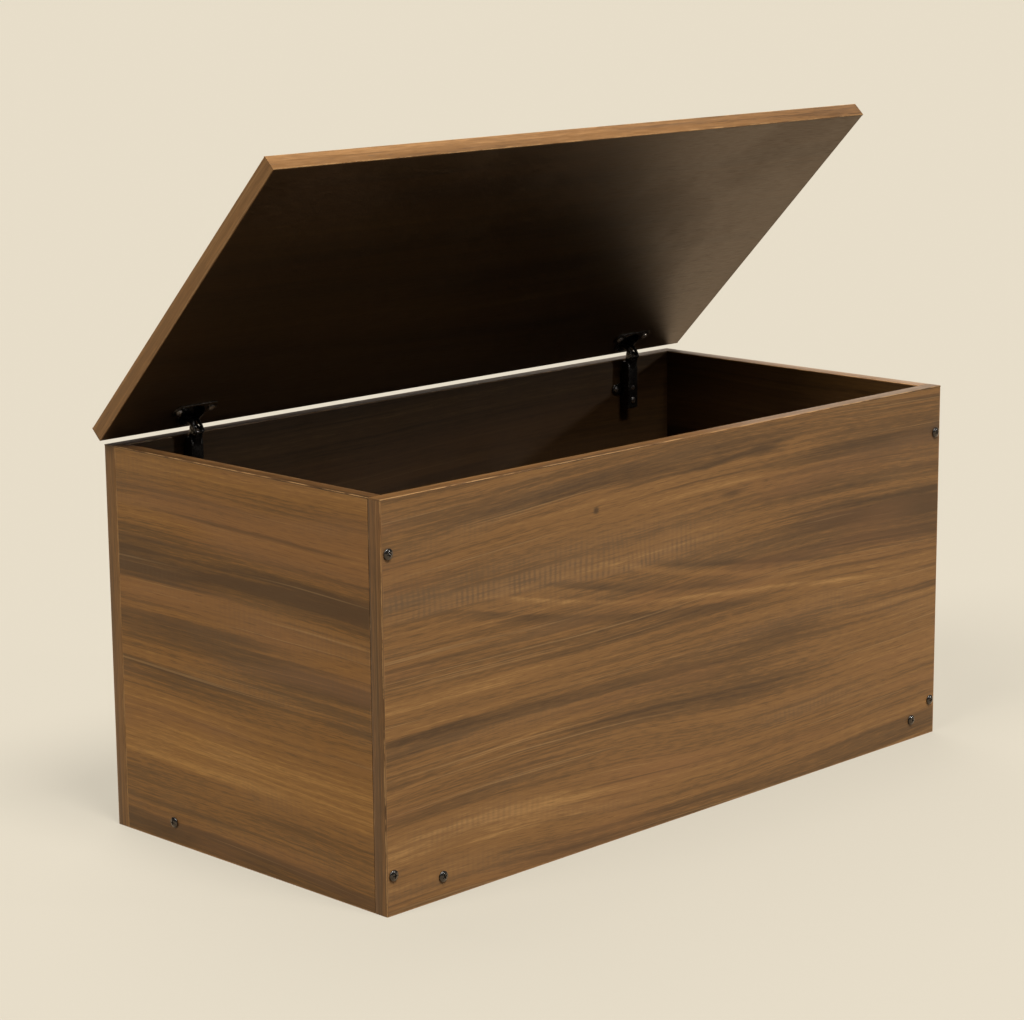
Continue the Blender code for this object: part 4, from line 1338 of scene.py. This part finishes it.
@dataclass(frozen=True)
class Lamp:
    """A soft light that shines evenly from one side. All but its strength are in degrees.

    Its bearing is to the left of straight ahead of the front, and its height is above the horizon.
    """

    name: str
    bearing: float
    height: float
    spread: float
    strength: float
    colour: Span = (1.0, 0.975, 0.94)

    def hang(self) -> None:
        """Hang the lamp."""
        light = bpy.data.lights.new(self.name, "SUN")
        light.angle = math.radians(self.spread)
        light.energy = self.strength
        light.color = self.colour
        side, rise = math.radians(self.bearing), math.radians(self.height)
        toward = Vector((-math.sin(side) * math.cos(rise), -math.cos(side) * math.cos(rise), math.sin(rise)))
        lamp = put_in_scene(self.name, light)
        lamp.rotation_euler = toward.to_track_quat("Z", "Y").to_euler()
        lamp.location = toward * 3


@dataclass(frozen=True)
class Studio:
    """The plain floor, the soft light and the camera.

    From one height to another, sky_overhead takes the sky's glow from one strength to another. The camera's
    focal length is in pixels of a photograph of a width.
    """

    finish: FloorCream = FloorCream()
    floor_reach: float = 60.0
    sky_colour: Colour = (1.0, 0.97, 0.92, 1.0)
    sky_glow: float = 0.98
    sky_overhead: tuple[float, float, float, float] = (0.25, 0.95, 0.03, 0.34)
    sheen_from: Span = (0.92, 0.335, 0.20)
    sheen: float = 1.5
    sheen_edge: tuple[float, float] = (0.88, 0.97)
    sheen_colour: Colour = (1.0, 0.76, 0.54, 1.0)
    camera_place: Span = (-2.28263, -2.22572, 0.99015)
    camera_turn: Span = (1.3617671, 0.0085879, -0.7884610)
    sensor: float = 36.0
    focal_pixels: float = 2873.589
    photo_width: int = 1024
    clip_end: float = 500.0

    LAMPS = (Lamp("key_light", 2, 60, 26, 5.15), Lamp("left_light", 92, 50, 26, 2.9),
             Lamp("back_light", 205, 60, 36, 1.9), Lamp("glint_light", -38, 14, 2.5, 0.40))

    def floor(self) -> None:
        """Lay the floor."""
        reach = self.floor_reach
        mesh = bpy.data.meshes.new("floor")
        mesh.from_pydata([(-reach, -reach, 0), (reach, -reach, 0), (reach, reach, 0), (-reach, reach, 0)], [],
                         [(0, 1, 2, 3)])
        floor = put_in_scene("floor", mesh)
        dress(floor, self.finish.material("floor_cream"))

    def sky(self) -> None:
        """Light the room faintly from overhead, with a sheen from the right for gloss, and plain cream to see."""
        world = bpy.data.worlds.new("studio")
        bpy.context.scene.world = world
        world.use_nodes = True
        world.node_tree.nodes.clear()
        sheet = Sheet(world.node_tree)
        direction = sheet.add("ShaderNodeTexCoord").outputs["Generated"]
        path = sheet.add("ShaderNodeLightPath").outputs
        toward = sheet.add("ShaderNodeVectorMath", {0: direction, 1: self.sheen_from}, operation="DOT_PRODUCT")
        shine = sheet.times(sheet.fade(toward.outputs["Value"], *self.sheen_edge), path["Is Glossy Ray"])
        overhead = sheet.fade(sheet.parts(direction)[2], *self.sky_overhead)
        soft = sheet.out("ShaderNodeBackground", {"Color": sheet.mix(shine, self.sky_colour, self.sheen_colour),
                                                  "Strength": sheet.scaled(shine, self.sheen, overhead)})
        plain = sheet.out("ShaderNodeBackground", {"Color": self.finish.cream, "Strength": self.sky_glow})
        seen = sheet.math("MAXIMUM", path["Is Camera Ray"], path["Is Transmission Ray"])
        both = sheet.out("ShaderNodeMixShader", {0: seen, 1: soft, 2: plain})
        sheet.add("ShaderNodeOutputWorld", {0: both})

    def camera(self) -> None:
        """Stand the camera where the photograph was taken from."""
        data = bpy.data.cameras.new("camera")
        data.sensor_width = self.sensor
        data.lens = self.focal_pixels * self.sensor / self.photo_width
        data.clip_end = self.clip_end
        camera = put_in_scene("camera", data)
        camera.location = self.camera_place
        camera.rotation_euler = self.camera_turn
        bpy.context.scene.camera = camera

    def build(self) -> None:
        """Set up the whole studio."""
        bpy.context.scene.view_settings.view_transform = "Standard"
        self.floor()
        self.sky()
        for lamp in self.LAMPS:
            lamp.hang()
        self.camera()


def main() -> None:
    """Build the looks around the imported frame."""
    logging.basicConfig(level=logging.INFO, format="%(name)s: %(message)s")
    for item in list(bpy.data.objects):
        bpy.data.objects.remove(item)
    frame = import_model()
    nodes = frame["nodes"]
    effects = Effects()
    Boards(effects, nodes).build()
    Edging(effects, nodes).build()
    screw_tree = make_screw_tree()
    brighter = BlackMetal((0.40, 0.38, 0.36, 1.0), metallic=1.0)
    metals = {Slot.SCREW: BlackMetal().material("black_screw_metal"),
              Slot.HINGE: brighter.material("hinge_screw_metal")}
    for screws in screw_sets():
        screws.build(screw_tree, metals[screws.slot], nodes)
    Hinges(nodes).build()
    Studio().build()


if __name__ == "__main__":
    main()
